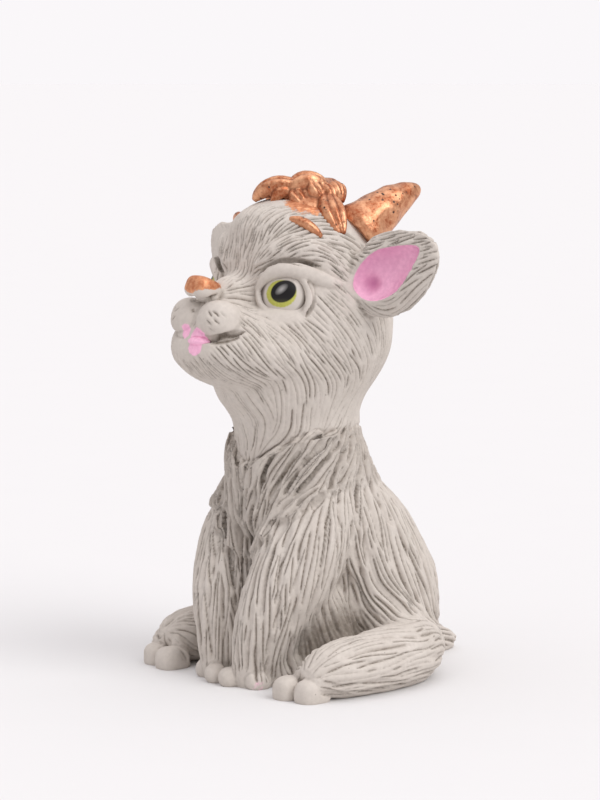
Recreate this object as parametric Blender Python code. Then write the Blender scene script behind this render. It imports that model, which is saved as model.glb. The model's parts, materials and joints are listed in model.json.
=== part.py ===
"""A seated kid goat figurine, cast in one piece, with horns, a forelock and a carved coat.

The figure faces -Y, its middle plane is x = 0 and its flat underside lies on z = 0.
It is made the way a modeller makes the master: soft masses are merged and smoothed,
the features are set on that skin, the coat is cut in as grooves, and the base is cut flat.
"""

import math
import random

import bmesh
import bpy
from mathutils import Matrix, Vector
from mathutils.bvhtree import BVHTree
from mathutils.kdtree import KDTree

MM = 0.001
SIDES = (1, -1)
UP = Vector((0, 0, 1))
ACROSS = Vector((1, 0, 0))
AHEAD = Vector((0, -1, 0))

# Level sections through the torso, in millimetres: height, the y of the middle,
# half the width, the reach ahead of the middle and the reach behind it.
TORSO = (
    (-3, 1, 17.5, 10, 18),
    (5, 1, 18, 10, 18.8),
    (12, 1, 18, 10, 19.2),
    (18, 0.7, 17.8, 12, 18.6),
    (23, -1, 17.3, 15, 17.9),
    (27, -2.6, 16.8, 17, 17),
    (30.5, -4, 16, 18, 16),
    (33.5, -5.5, 14.9, 16.6, 14.7),
    (37, -7.8, 13.4, 14.2, 13.8),
    (41, -9, 12.8, 13.2, 13),
    (45, -9.3, 12, 12.4, 12.2),
)

# Level sections through the head and the neck, in the same order.
HEAD = (
    (38, -9, 10, 10, 10),
    (45, -9.7, 11.6, 12, 11.8),
    (48.6, -10.3, 11.7, 12.4, 12),
    (51, -10.3, 12.4, 14.5, 12.2),
    (53.5, -9.9, 13.7, 16.5, 12.8),
    (57, -9.1, 15.7, 17, 14.2),
    (61, -8.5, 17.6, 17, 15.2),
    (65, -8.3, 18.2, 16.6, 15.4),
    (69, -8.3, 18, 16.2, 15.3),
    (74, -8.3, 17.1, 15.8, 14.8),
    (78, -8.4, 16, 15.4, 13.8),
    (82, -8.6, 14, 14.4, 11.8),
    (85, -9, 12.2, 13.3, 9.8),
    (87.4, -9.5, 9.4, 10.6, 7.6),
    (89.2, -10, 5, 5.6, 4.2),
)

# The chin and jaw, one broad egg under the muzzle.
JAW_Y = -20 * MM
JAW_HEIGHT = 62.5 * MM
JAW_HALF_WIDTH = 15 * MM
JAW_HALF_LENGTH = 16.2 * MM
JAW_HALF_HEIGHT = 8.5 * MM

# A foreleg from the sole to the shoulder: distance from the middle plane, y, height,
# half width and half depth.
FORELEG = (
    (4.3, -23.6, -2, 3.6, 3.6),
    (4.7, -23.2, 3, 4.4, 5.4),
    (5.8, -21.4, 9, 5.8, 7.6),
    (7.2, -19.8, 15, 6.7, 8.2),
    (8.5, -17.9, 20.5, 7.4, 8.4),
    (9.5, -14.6, 27, 7.4, 8.2),
    (9.3, -11.2, 33, 6, 6.6),
    (8.4, -9, 37, 4, 4.4),
)

# A hind leg from the hoof to the hip: distance from the middle plane, y, height of the
# middle, half width and half height.
HIND_LEG = (
    (21.4, -26.4, 3.2, 4.6, 3.4),
    (21.6, -23.4, 4, 5.2, 4.4),
    (22, -20, 4.7, 5.8, 5.2),
    (22, -14.5, 5, 6.3, 5.6),
    (21.4, -7, 5.2, 6.6, 6),
    (19.5, 0, 5.4, 6.6, 6.2),
    (15.2, 5.4, 5.4, 6.4, 6),
    (10, 9.2, 5.4, 6.4, 6),
)

TAIL_ROOT_Y = 18 * MM
TAIL_TIP_Y = 30.3 * MM
TAIL_RADIUS = 4 * MM

# Toes: two on each foot.
FORE_TOE_HALF_WIDTH = 2.15 * MM
FORE_TOE_INNER = 2.1 * MM
FORE_TOE_OUTER = 6.2 * MM
FORE_TOE_INNER_Y = -27.2 * MM
FORE_TOE_OUTER_Y = -25.6 * MM
HIND_TOE_HALF_WIDTH = 2.7 * MM
HIND_TOE_INNER = 19.2 * MM
HIND_TOE_OUTER = 23.7 * MM
HIND_TOE_Y = -25.4 * MM
# The flank fills the hollow between foreleg and haunch.
FLANK = Vector((8, -10.5, 8)) * MM
FLANK_RADII = Vector((7, 6.5, 11)) * MM

# The face is set out in its own frame, tilted so that the nose lifts.
FACE_TILT = math.radians(25)
FACE_CENTRE = Vector((0, -9, 69)) * MM
NOSE_HALF_WIDTH = 2.9 * MM
NOSE_HALF_LENGTH = 3 * MM
NOSE_HALF_HEIGHT = 2.1 * MM
LOBE_HALF_WIDTH = 4.6 * MM
LOBE_HALF_LENGTH = 4.6 * MM
LOBE_HALF_HEIGHT = 3.8 * MM
LOBE_SPREAD = 3.8 * MM

# Eyes: each has its own frame at the front of the ball, with u towards the ear, v up and
# w along the line of sight.
EYE_SPOT = Vector((9.8, -21.1, 72.6)) * MM
EYE_AIM = Vector((0.56, -0.8, 0.2))
EYE_RADIUS = 6 * MM
EYE_BULGE = 1.7 * MM

# Bands round the eye, as rows of u, v, w, half width and half thickness.
UPPER_LID = (
    (-5, 0.6, 0, 0.5, 0.5),
    (-3.7, 2.7, 0.6, 1.05, 1.1),
    (-1.3, 4.1, 1, 1.4, 1.4),
    (1.2, 4.5, 0.8, 1.5, 1.45),
    (3.6, 4.1, 0.2, 1.5, 1.3),
    (6, 3.3, -0.8, 1.4, 1.1),
    (8.4, 2.6, -1.8, 1, 0.9),
    (10, 2.2, -2.8, 0.5, 0.4),
)
OUTER_LID = (
    (2.6, 3.4, 0.2, 0.5, 0.5),
    (4.1, 2.2, 0.2, 0.75, 0.9),
    (4.9, 0.4, 0, 0.8, 0.95),
    (4.9, -1.4, -0.1, 0.75, 0.9),
    (4, -3.3, -0.2, 0.45, 0.55),
)
INNER_LID = (
    (-4.9, 1.2, 0, 0.4, 0.5),
    (-4.8, -0.4, -0.1, 0.55, 0.6),
    (-4.1, -2, 0, 0.55, 0.6),
    (-2.5, -3.2, 0.5, 0.5, 0.5),
)
CHEEK_EDGE = (
    (-4.4, -3.4, 0.3, 0.8, 0.7),
    (-2.4, -4.1, 0.8, 1.3, 1),
    (0, -4.4, 0.9, 1.5, 1.1),
    (2.6, -4.9, 0.3, 1.4, 1),
    (4.8, -5.2, -0.6, 0.9, 0.7),
)
BROW_RIDGE = (
    (-6, 4.9, -0.6, 1.2, 1.1),
    (-3.2, 7, 0.2, 1.9, 1.5),
    (0.3, 8.3, 0.2, 2.2, 1.7),
    (3.8, 8.3, -0.3, 2.1, 1.5),
    (7, 7, -1.6, 1.6, 1.1),
    (9.6, 4.9, -2.9, 0.8, 0.7),
)

# Creases cut by a tool: half width, depth, the share of it on the right half, and points
# of the path on the left half.
CREASES = (
    (0.9, 1.3, 1, ((5.2, -23.2, 76), (7.6, -22.4, 77.6), (10.2, -20.4, 79.1),
                   (12, -18.4, 79.1), (14, -16, 78))),
    (0.6, 0.8, 1, ((13.2, -18.9, 76.1), (14.7, -18, 74.2), (14.9, -17.8, 71.8),
                   (13.8, -19, 68.8))),
    (0.4, 0.3, 1, ((7.5, -22.6, 76.8), (10, -21.4, 77.9), (12.6, -19.2, 77.6))),
    (0.75, 1.6, 0.3, ((1.2, -36, 65), (3, -35.6, 64.9), (5.6, -34.4, 65), (7.8, -32.4, 65.6),
                      (9.5, -30.2, 66.5))),
    (1, 0.9, 0, ((5.4, -34.4, 64.3), (7.4, -32.8, 64.6), (9.2, -31, 65.4))),
    (0.7, 0.9, 0, ((0, -34.2, 71.4), (0, -35.4, 69), (0, -35.6, 67))),
    (0.6, 0.8, 1, ((0.4, -33.9, 71.6), (1.8, -33, 71.7), (3, -31, 72.4))),
)

# Ears: broad leaves that face ahead and a little outward. Each section is the share of the way
# from the root to the tip, the lower edge, the upper edge and half the thickness.
EAR_REACH = 31.8 * MM
EAR_ROOT_OUT = 12 * MM
EAR_ROOT_Y = -8.6 * MM
EAR_TURN = 0.2
EAR = (
    (0, 70.5, 79, 2.6),
    (0.22, 68.8, 80.2, 2.9),
    (0.38, 67.9, 82.1, 2.8),
    (0.53, 68.4, 83.8, 2.5),
    (0.68, 70, 84.9, 2.2),
    (0.81, 72.2, 85.6, 1.9),
    (0.9, 74.6, 85.9, 1.6),
    (0.96, 77.4, 85.9, 1.3),
    (1, 80.8, 85.2, 0.7),
)
FAR_EAR_DROP = 1.2 * MM
EAR_HOLLOW = Vector((23.2, -6.8, 76.6)) * MM
EAR_HOLLOW_AIM = Vector((0.3, -0.95, 0.05))
EAR_HOLLOW_LEAN = Vector((-5.4, 0, 11))
EAR_HOLLOW_HALF_WIDTH = 8 * MM
EAR_HOLLOW_HALF_HEIGHT = 4.8 * MM
EAR_HOLLOW_DEPTH = 3 * MM
# The hollow narrows towards the tip of the ear by this share.
EAR_HOLLOW_TAPER = 0.36
FAR_EAR_HOLLOW_SHARE = 0.72
EAR_PIT = Vector((17.6, -7, 73)) * MM
EAR_PIT_REACH = 3 * MM
EAR_PIT_DEPTH = 1.8 * MM

# Mouth: a cleft between the lobes and the lower lip, with the tongue in it.
TONGUE = Vector((1.8, -34.3, 64.2)) * MM
TONGUE_RADII = Vector((2.6, 1.7, 0.9)) * MM
LIP = Vector((0, -33.2, 61.9)) * MM
LIP_RADII = Vector((6.4, 3.2, 2.2)) * MM

# The mane lies over the chest like a bib: its collar dips in front and its hem ends in a point.
MANE_THICKNESS = 1.3 * MM
MANE_EDGE = 0.7 * MM
MANE_BACK_SHARE = 0.4
COLLAR_HEIGHT = 47.2 * MM
COLLAR_DIP = 6.4 * MM
COLLAR_SPREAD = math.radians(62)
HEM_HEIGHT = 36 * MM
HEM_DIP = 17.5 * MM
HEM_SPREAD = math.radians(82)

# Horns: fat cones that lean back over the ears.
HORN_ROOT = Vector((9.6, -4.2, 82.6)) * MM
HORN_TIP = Vector((12.2, 9.4, 91)) * MM
HORN_BEND = 1.1 * MM
# Share of the way from root to tip, and the radius there.
HORN = (
    (0, 4.9),
    (0.12, 5.3),
    (0.26, 4.5),
    (0.5, 3.7),
    (0.75, 2.6),
    (0.9, 1.7),
    (0.97, 1),
    (1, 0.4),
)

# The coat: distance between its grooves, their half width and depth, deeper in the mane.
VOXEL = 0.48 * MM
COAT_SPACING = 2.9 * MM
COAT_WIDTH = 1.15 * MM
HEAD_COAT_DEPTH = 0.55 * MM
BODY_COAT_DEPTH = 0.75 * MM
MANE_COAT_DEPTH = 1 * MM
COAT_SHORTEST = 8 * MM
COAT_LONGEST = 20 * MM
COAT_STEP = 0.7 * MM
NARROWEST_GROOVE = 0.75 * MM
FACE_TRIANGLES = 4800
BODY_TRIANGLES = 6850


def at(x, y, z):
    """A point given in millimetres."""
    return Vector((x, y, z)) * MM


def lerp(a, b, t):
    return a + (b - a) * t


def ease(t):
    t = min(max(t, 0), 1)
    return t * t * (3 - 2 * t)


def ball(bm, centre, radii, turn=None):
    """An egg-shaped mass with three half sizes, turned about its centre."""
    scale = Matrix.Diagonal((*radii, 1))
    matrix = Matrix.Translation(centre) @ (turn or Matrix()) @ scale
    bmesh.ops.create_uvsphere(bm, u_segments=32, v_segments=20, radius=1, matrix=matrix)


def ring(bm, centre, side, front, half_width, ahead, behind):
    """A closed loop of edges, oval, with its own reach ahead of the middle and behind."""
    circle = bmesh.ops.create_circle(bm, cap_ends=False, segments=32, radius=1)["verts"]
    for vert in circle:
        x, y = vert.co.x, vert.co.y
        reach = ahead if y > 0 else behind
        vert.co = centre + side * (x * half_width) + front * (y * reach)
    return list({edge for vert in circle for edge in vert.link_edges})


def loft(bm, rings):
    """A closed mass through loops of edges."""
    for low, high in zip(rings, rings[1:]):
        bmesh.ops.bridge_loops(bm, edges=low + high)
    for end in (rings[0], rings[-1]):
        bmesh.ops.contextual_create(bm, geom=end)


def between(rows, steps):
    """Rows of a table with smooth ones put in between (Catmull-Rom)."""
    made = []
    for i in range(len(rows) - 1):
        before, a, b, after = (rows[max(i - 1, 0)], rows[i], rows[i + 1],
                               rows[min(i + 2, len(rows) - 1)])
        for step in range(steps):
            t = step / steps
            row = []
            for p, q, r, s in zip(before, a, b, after):
                row.append(0.5 * (2 * q + (r - p) * t + (2 * p - 5 * q + 4 * r - s) * t * t
                                  + (3 * q - p - 3 * r + s) * t ** 3))
            made.append(row)
    made.append(rows[-1])
    return made


def level_sections(bm, rows):
    rings = []
    for height, y, half_width, ahead, behind in between(rows, 3):
        rings.append(ring(bm, at(0, y, height), ACROSS, AHEAD,
                          half_width * MM, ahead * MM, behind * MM))
    loft(bm, rings)


def limb(bm, points, halves, across=ACROSS):
    """A mass along a path of points. Each has a half width across and a half depth."""
    rings = []
    for i, (point, (wide, deep)) in enumerate(zip(points, halves)):
        along = (points[min(i + 1, len(points) - 1)] - points[max(i - 1, 0)]).normalized()
        front = along.cross(across).normalized()
        side = front.cross(along).normalized()
        rings.append(ring(bm, point, side, front, wide, deep, deep))
    loft(bm, rings)


def leg(bm, rows, side):
    points, halves = [], []
    for out, y, height, wide, deep in between(rows, 3):
        points.append(at(side * out, y, height))
        halves.append((wide * MM, deep * MM))
    limb(bm, points, halves)


def eye_frame(side):
    """From an eye's own frame (u, v, w) to the figure's."""
    aim = (EYE_AIM * Vector((side, 1, 1))).normalized()
    outward = UP.cross(aim).normalized() * side
    top = (UP - aim * UP.dot(aim)).normalized()
    turn = Matrix((outward, top, aim)).transposed().to_4x4()
    return Matrix.Translation(EYE_SPOT * Vector((side, 1, 1))) @ turn


def eye_band(bm, rows, side):
    """A tapering band of clay round an eye."""
    frame = eye_frame(side)
    points, halves = [], []
    for u, v, w, wide, thick in between(rows, 3):
        points.append(frame @ at(u, v, w))
        halves.append((thick * MM, wide * MM))
    limb(bm, points, halves, across=frame.col[2].to_3d())


def leaf(bm, start, middle, end, half_width, half_thickness, outward, ribs=1):
    """A lock of hair: a flat tapering mass on a bent path, with one face outward. With ribs,
    it is a bundle of thinner strands side by side."""
    side = (end - start).cross(outward).normalized()
    for rib in range(ribs):
        place = (rib - (ribs - 1) / 2) * 2 / ribs
        points, halves = [], []
        count = 9
        for i in range(count + 1):
            t = i / count
            point = start * (1 - t) ** 2 + middle * (2 * t * (1 - t)) + end * t * t
            share = 0.22 + 0.78 * math.sin(math.pi * (0.1 + 0.86 * t)) ** 0.8
            point = point + side * (place * half_width * share)
            point = point - outward * (0.35 * half_thickness * place * place)
            points.append(point)
            halves.append((half_thickness * share, half_width * share * 1.25 / ribs))
        limb(bm, points, halves, across=outward)


def pillow(bm, centre, radii, turn, squareness):
    """An egg-shaped mass with flattened faces. Squareness 1 is a plain egg, less is boxier."""
    made = bmesh.ops.create_uvsphere(bm, u_segments=32, v_segments=20, radius=1)["verts"]
    for vert in made:
        vert.co = Vector([math.copysign(abs(c) ** squareness, c) for c in vert.co])
    matrix = Matrix.Translation(centre) @ turn @ Matrix.Diagonal((*radii, 1))
    bmesh.ops.transform(bm, matrix=matrix, verts=made)


def mesh_of(bm, name):
    mesh = bpy.data.meshes.new(name)
    bmesh.ops.recalc_face_normals(bm, faces=bm.faces)
    bm.to_mesh(mesh)
    bm.free()
    return mesh


def fused(mesh, voxel, rounds, factor=0.5):
    """The masses of a mesh merged into one skin, which is then smoothed."""
    holder = bpy.data.objects.new("masses", mesh)
    bpy.context.scene.collection.objects.link(holder)
    merge = holder.modifiers.new("merge", "REMESH")
    merge.mode = "VOXEL"
    merge.voxel_size = voxel
    smooth = holder.modifiers.new("smooth", "SMOOTH")
    smooth.factor = factor
    smooth.iterations = rounds
    graph = bpy.context.evaluated_depsgraph_get()
    made = bpy.data.meshes.new_from_object(holder.evaluated_get(graph))
    bpy.data.objects.remove(holder)
    return made


def face_frame():
    """From the face's own frame to the figure's."""
    return Matrix.Translation(FACE_CENTRE) @ Matrix.Rotation(-FACE_TILT, 4, "X")


def soft_masses():
    """Torso, head, jaw, legs and tail: everything that flows together."""
    bm = bmesh.new()
    level_sections(bm, TORSO)
    level_sections(bm, HEAD)
    ball(bm, Vector((0, JAW_Y, JAW_HEIGHT)), (JAW_HALF_WIDTH, JAW_HALF_LENGTH, JAW_HALF_HEIGHT))
    for side in SIDES:
        leg(bm, FORELEG, side)
        leg(bm, HIND_LEG, side)
        ball(bm, FLANK * Vector((side, 1, 1)), FLANK_RADII)
    tail = [Vector((0, lerp(TAIL_ROOT_Y, TAIL_TIP_Y, t), lerp(3.4, 1.2, t) * MM))
            for t in (0, 0.35, 0.7, 0.9, 1)]
    limb(bm, tail, [(TAIL_RADIUS * s, TAIL_RADIUS * s) for s in (1.1, 1, 0.75, 0.5, 0.25)])
    frame = face_frame()
    turn = frame.to_3x3().to_4x4()
    ball(bm, frame @ at(0, -12.4, -4.2), (5 * MM, 8 * MM, 4.8 * MM), turn)
    ball(bm, frame @ at(0, -15, -10.5), (9.5 * MM, 7.5 * MM, 5.5 * MM), turn)
    ball(bm, LIP, LIP_RADII)
    for side in SIDES:
        eye_band(bm, BROW_RIDGE, side)
        eye_band(bm, CHEEK_EDGE, side)
    return mesh_of(bm, "soft masses")


def add_muzzle(bm):
    """Nose and the two whisker lobes."""
    frame = face_frame()
    turn = frame.to_3x3().to_4x4()
    nose = (NOSE_HALF_WIDTH, NOSE_HALF_LENGTH, NOSE_HALF_HEIGHT)
    pillow(bm, frame @ at(0, -22.7, -6), nose, turn, 0.62)
    lobe = (LOBE_HALF_WIDTH, LOBE_HALF_LENGTH, LOBE_HALF_HEIGHT)
    for side in SIDES:
        centre = frame @ Vector((side * LOBE_SPREAD, -19.2 * MM, -10.5 * MM))
        pillow(bm, centre, lobe, turn, 0.85)


def add_eyes(bm):
    """The balls of the eyes and the lids round them."""
    for side in SIDES:
        centre = eye_frame(side) @ Vector((0, 0, EYE_BULGE - EYE_RADIUS))
        ball(bm, centre, (EYE_RADIUS,) * 3)
        for rows in (UPPER_LID, OUTER_LID, INNER_LID):
            eye_band(bm, rows, side)


def add_ears(bm):
    for side in SIDES:
        points, halves = [], []
        for share, low, high, thick in between(EAR, 2):
            drop = 0 if side > 0 else FAR_EAR_DROP * share
            out = lerp(EAR_ROOT_OUT, EAR_REACH, share)
            y = EAR_ROOT_Y + EAR_TURN * (out - EAR_ROOT_OUT)
            points.append(Vector((side * out, y, (low + high) / 2 * MM - drop)))
            halves.append(((high - low) / 2 * MM, thick * MM))
        limb(bm, points, halves, across=UP)


def add_horns(bm):
    for side in SIDES:
        flip = Vector((side, 1, 1))
        root, tip = HORN_ROOT * flip, HORN_TIP * flip
        points, halves = [], []
        for share, radius in between(HORN, 3):
            bend = UP * HORN_BEND * math.sin(math.pi * share)
            points.append(root.lerp(tip, share) + bend)
            halves.append((radius * MM, radius * MM))
        limb(bm, points, halves)


# Forelock: each lock's start, middle and end as x, y and the distance below the top of the
# figure, then its half width and half thickness.
FORELOCK_TOP = 94.6 * MM
LOCKS = (
    ((1.5, -11.8, 2.2), (-2.5, -15.2, 1.8), (-4.6, -16.6, 5.2), 2.3, 1.5),
    ((1.5, -12.7, 3.6), (-0.7, -15, 3), (-0.3, -15.6, 6), 1.5, 1.1),
    ((4.2, -6.9, 2.4), (1.5, -9.8, 0.2), (0.2, -13, 4.2), 3, 1.7),
    ((4.5, -9.7, 2.4), (5.4, -9.9, 3), (6.4, -9, 6.2), 1.9, 1.3),
    ((2.2, -12, 3.8), (3.6, -12.8, 4.2), (5.4, -12, 6.8), 1.9, 1.3),
    ((4.6, -5.5, 2.6), (6.6, -5.3, 2.6), (7.9, -5.8, 5.6), 1.6, 1.2),
    ((5, -7.4, 2.8), (6.8, -7.4, 3.4), (7.8, -7.4, 6), 1.5, 1.2),
    ((7, -8.4, 4.6), (10.2, -10.2, 6.4), (12.9, -10, 11), 2.4, 1.4),
    ((-2, -9, 3), (-5.5, -10.5, 3.2), (-7.6, -11, 7.4), 2, 1.2),
    ((-1, -6.5, 3.2), (-5.5, -6.8, 3.4), (-8.6, -7, 8.2), 2, 1.2),
    ((1.5, -4.5, 3.6), (0.5, -1.8, 4.2), (-1, 0.5, 7.6), 2, 1.2),
)
CROWN = Vector((1.8, -9, 87.4)) * MM
CROWN_RADII = Vector((7, 6, 3.2)) * MM


def add_forelock(bm):
    ball(bm, CROWN, CROWN_RADII)
    crown = at(0, -9, 78)
    for *places, wide, thick in LOCKS:
        start, middle, end = [Vector((x * MM, y * MM, FORELOCK_TOP - below * MM))
                              for x, y, below in places]
        outward = (middle - crown).normalized()
        leaf(bm, start, middle, end, wide * MM, thick * MM, outward, ribs=3)


def add_eyebrows(bm):
    for side in SIDES:
        start = at(side * 8.1, -17.3, 86)
        middle = at(side * 11.2, -15.6, 85.8)
        end = at(side * 12.8, -13.6, 82.8)
        leaf(bm, start, middle, end, 1 * MM, 1 * MM, at(side * 9, -6, 4).normalized())


def add_toes(bm):
    for side in SIDES:
        for out, y in ((FORE_TOE_INNER, FORE_TOE_INNER_Y), (FORE_TOE_OUTER, FORE_TOE_OUTER_Y)):
            half = FORE_TOE_HALF_WIDTH
            place = Vector((side * out, y, 1.4 * MM))
            pillow(bm, place, (half, 1.2 * half, 2.1 * MM), Matrix(), 0.85)
        for out in (HIND_TOE_INNER, HIND_TOE_OUTER):
            half = HIND_TOE_HALF_WIDTH
            place = Vector((side * out, HIND_TOE_Y, 1.9 * MM))
            pillow(bm, place, (half, 1.3 * half, 2.9 * MM), Matrix(), 0.85)


def with_features(skin):
    bm = bmesh.new()
    add_muzzle(bm)
    ball(bm, TONGUE, TONGUE_RADII)
    add_eyes(bm)
    add_ears(bm)
    add_horns(bm)
    add_forelock(bm)
    add_eyebrows(bm)
    add_toes(bm)
    bm.from_mesh(skin)
    return mesh_of(bm, "skin with features")


def guide(x, y, z, right, down, ahead=0):
    """A guide at a point, given as seen from the front left: to the right, down, towards the eye."""
    way = Vector((0.629, 0.777, 0)) * right - UP * down + Vector((0.777, -0.629, 0)) * ahead
    return at(x, y, z), way.normalized()


# Where the coat lies which way, on the goat's left half. The right half mirrors it.
GUIDES = [
    (at(1, -26, 77), Vector((0, 0.5, 0.87))),
    (at(3, -22, 83), Vector((0.1, 0.3, 0.95))),
    guide(8, -20, 80, 0.77, -0.64),
    guide(11, -16, 84, 0.8, -0.5),
    guide(13, -13, 81, 0.95, 0.15),
    guide(15, -12, 77, 0.75, 0.6),
    guide(16, -13, 72, 0.7, 0.7),
    guide(12, -22, 67, 0.75, 0.6),
    guide(17, -14, 62, 0.62, 0.78),
    guide(10, -27, 66, 0.45, 0.88),
    guide(8, -27, 74, 0.9, 0.2),
    guide(6, -33, 68, 0.9, 0.45),
    guide(8, -32, 60, 0.6, 0.8),
    (at(1, -33, 57), Vector((0, 0.6, -0.8))),
    guide(5, -26, 53, 0.35, 0.94),
    guide(11, -17, 50, 0.05, 1),
    (at(8, 4, 55), Vector((0, 0, -1))),
    (at(0, 7, 70), Vector((0, 0, -1))),
    (at(12, 4, 74), Vector((0, 0.2, -1))),
    (at(5, 0, 86), Vector((0.1, 0.9, -0.4))),
    (at(24, -7, 80), Vector((0.9, 0, 0.4))),
    (at(28, -7, 73), Vector((0.8, 0, 0.6))),
    (at(24, -3, 77), Vector((0.95, 0, 0.3))),
    guide(14, -8, 42, -0.7, 0.7),
    guide(6, -19, 42.5, -0.8, 0.6),
    guide(11, -14, 44, -0.8, 0.6),
    guide(13, -3, 44, -0.6, 0.8),
    guide(11, -17, 36, -0.65, 0.75),
    guide(1, -21, 40, -0.1, 1),
    guide(6, -33.5, 70.5, 0.9, 0.4),
    guide(9, -20, 38, -0.6, 0.8),
    guide(3, -24, 34, -0.35, 0.93),
    (at(1, -23, 29), Vector((-0.2, 0, -1))),
    guide(11, 3, 40, -0.4, 0.9),
    (at(0, 6, 40), Vector((0, 0.1, -1))),
    guide(15, -14, 30, -0.1, 1),
    guide(13, -18, 22, -0.2, 1),
    guide(9, -24, 12, -0.15, 1),
    guide(2, -24, 14, 0.1, 1),
    guide(16, -3, 31, 0.12, 1),
    guide(17, -4, 23, 0.3, 0.93),
    guide(17, -3, 14, 0.8, 0.6),
    guide(16, 6, 22, 0.45, 0.9),
    guide(15, 12, 14, 0.6, 0.8),
    guide(13, -8, 14, 0.1, 1),
    guide(15, -6, 9, 0.6, 0.8),
    (at(0, 14, 30), Vector((0, 0.45, -0.9))),
    (at(6, 20, 16), Vector((0.1, 0.1, -1))),
    (at(24, -18, 7), Vector((0, 1, 0.15))),
    (at(27, -8, 5), Vector((-0.1, 1, 0.1))),
    (at(22, 2, 8), Vector((-0.45, 0.9, 0.1))),
    (at(15, 14, 7), Vector((-0.7, 0.6, -0.3))),
    (at(4, 24, 5), Vector((-0.2, 0.9, -0.3))),
]

# Round places that stay bare, on the left half: the middle and the reach.
BARE = [
    (at(10, -21, 72.6), 5.6 * MM),
    (at(12, -20.5, 76), 3.2 * MM),
    (at(14.5, -16.5, 75.6), 2.6 * MM),
    (at(0, -32.3, 73.8), 4 * MM),
    (at(0, -35, 64.6), 3.6 * MM),
    (at(4, -33, 68), 5.6 * MM),
    (at(2.5, -34, 62), 4 * MM),
    (at(3, -10, 91), 6.5 * MM),
    (at(8, -8, 89), 4.5 * MM),
    (at(2, -15, 90.5), 3.4 * MM),
    (at(10, -4, 85), 5.8 * MM),
    (at(12, 5, 90), 5.8 * MM),
    (at(2.1, -28, 1.2), 2.4 * MM),
    (at(6.2, -26.5, 1.2), 2.4 * MM),
    (at(18.8, -25.8, 2.2), 3.4 * MM),
    (at(23.9, -25.8, 2.2), 3.4 * MM),
]


def flow(point):
    """The way the coat lies at a point: the mean of the nearest guides, nearer ones first."""
    flip = -1 if point.x < 0 else 1
    here = Vector((abs(point.x), point.y, point.z))
    total = Vector()
    for place, way in GUIDES:
        total += way / ((here - place).length_squared + 4e-7) ** 1.5
    total.x *= flip
    return total


def dish_place(point, side):
    """Where a point lies in the hollow of an ear: across and up, as shares of its half sizes."""
    aim, across, top = dish_axes(side)
    away = point - EAR_HOLLOW * Vector((side, 1, 1))
    return (away.dot(across) / EAR_HOLLOW_HALF_WIDTH, away.dot(top) / EAR_HOLLOW_HALF_HEIGHT,
            away.dot(aim))


def dish_axes(side):
    flip = Vector((side, 1, 1))
    aim = (EAR_HOLLOW_AIM * flip).normalized()
    across = (EAR_HOLLOW_LEAN * flip).cross(aim).normalized()
    return aim, across, aim.cross(across).normalized()


def bare(point):
    """True where no coat is cut: face features, hooves, hair, horns and ear hollows."""
    here = Vector((abs(point.x), point.y, point.z))
    for place, reach in BARE:
        if (here - place).length_squared < reach * reach:
            return True
    if here.z > 60 * MM and here.x > 12 * MM:
        x, y, ahead = dish_place(here, 1)
        y /= 1 - EAR_HOLLOW_TAPER * x
        if abs(x) ** 1.4 + y * y < 1.05 and ahead > -3.4 * MM:
            return True
    return here.z < 0.8 * MM


def mane_edges(point):
    """Heights of the collar and the hem of the mane on a point's side of the body."""
    out = math.atan2(abs(point.x), -(point.y - at(0, -8, 0).y))
    collar = COLLAR_HEIGHT - COLLAR_DIP * max(0, 1 - out / COLLAR_SPREAD) ** 1.3
    hem = HEM_HEIGHT - HEM_DIP * max(0, 1 - out / HEM_SPREAD) ** 1.9
    return collar, hem


def mane_thickness(point):
    """The mane is thick over the chest and thins out towards the back."""
    out = math.atan2(abs(point.x), -(point.y - at(0, -8, 0).y))
    back = ease((out - math.radians(70)) / math.radians(45))
    return MANE_THICKNESS * lerp(1, MANE_BACK_SHARE, back)


def mane_cover(point):
    """How far the mane covers a point: 0 off it, 1 on it, with a short slope at its edges."""
    collar, hem = mane_edges(point)
    return min(ease((collar - point.z) / MANE_EDGE), ease((point.z - hem) / MANE_EDGE))


def lay_mane(skin):
    normals = [vert.normal.copy() for vert in skin.vertices]
    for vert, normal in zip(skin.vertices, normals):
        if 16 * MM < vert.co.z < 50 * MM:
            vert.co += normal * mane_thickness(vert.co) * mane_cover(vert.co)


def press_ear(skin, side):
    """The hollow of an ear, with the pit at its root."""
    aim = dish_axes(side)[0]
    pit = EAR_PIT * Vector((side, 1, 1))
    reach = 1 if side > 0 else FAR_EAR_HOLLOW_SHARE
    normals = [vert.normal.copy() for vert in skin.vertices]
    for vert, normal in zip(skin.vertices, normals):
        x, y, ahead = dish_place(vert.co, side)
        x /= reach
        y /= max(0.3, 1 - EAR_HOLLOW_TAPER * x * side)
        share = 1 - abs(x) ** 1.4 - y * y
        if share > 0 and abs(ahead) < 6 * MM:
            facing = ease(normal.dot(aim) / 0.45)
            vert.co -= aim * EAR_HOLLOW_DEPTH * share ** 0.6 * facing
            gap = (vert.co - pit).length
            vert.co -= aim * EAR_PIT_DEPTH * max(0, 1 - gap / EAR_PIT_REACH) * facing


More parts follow.
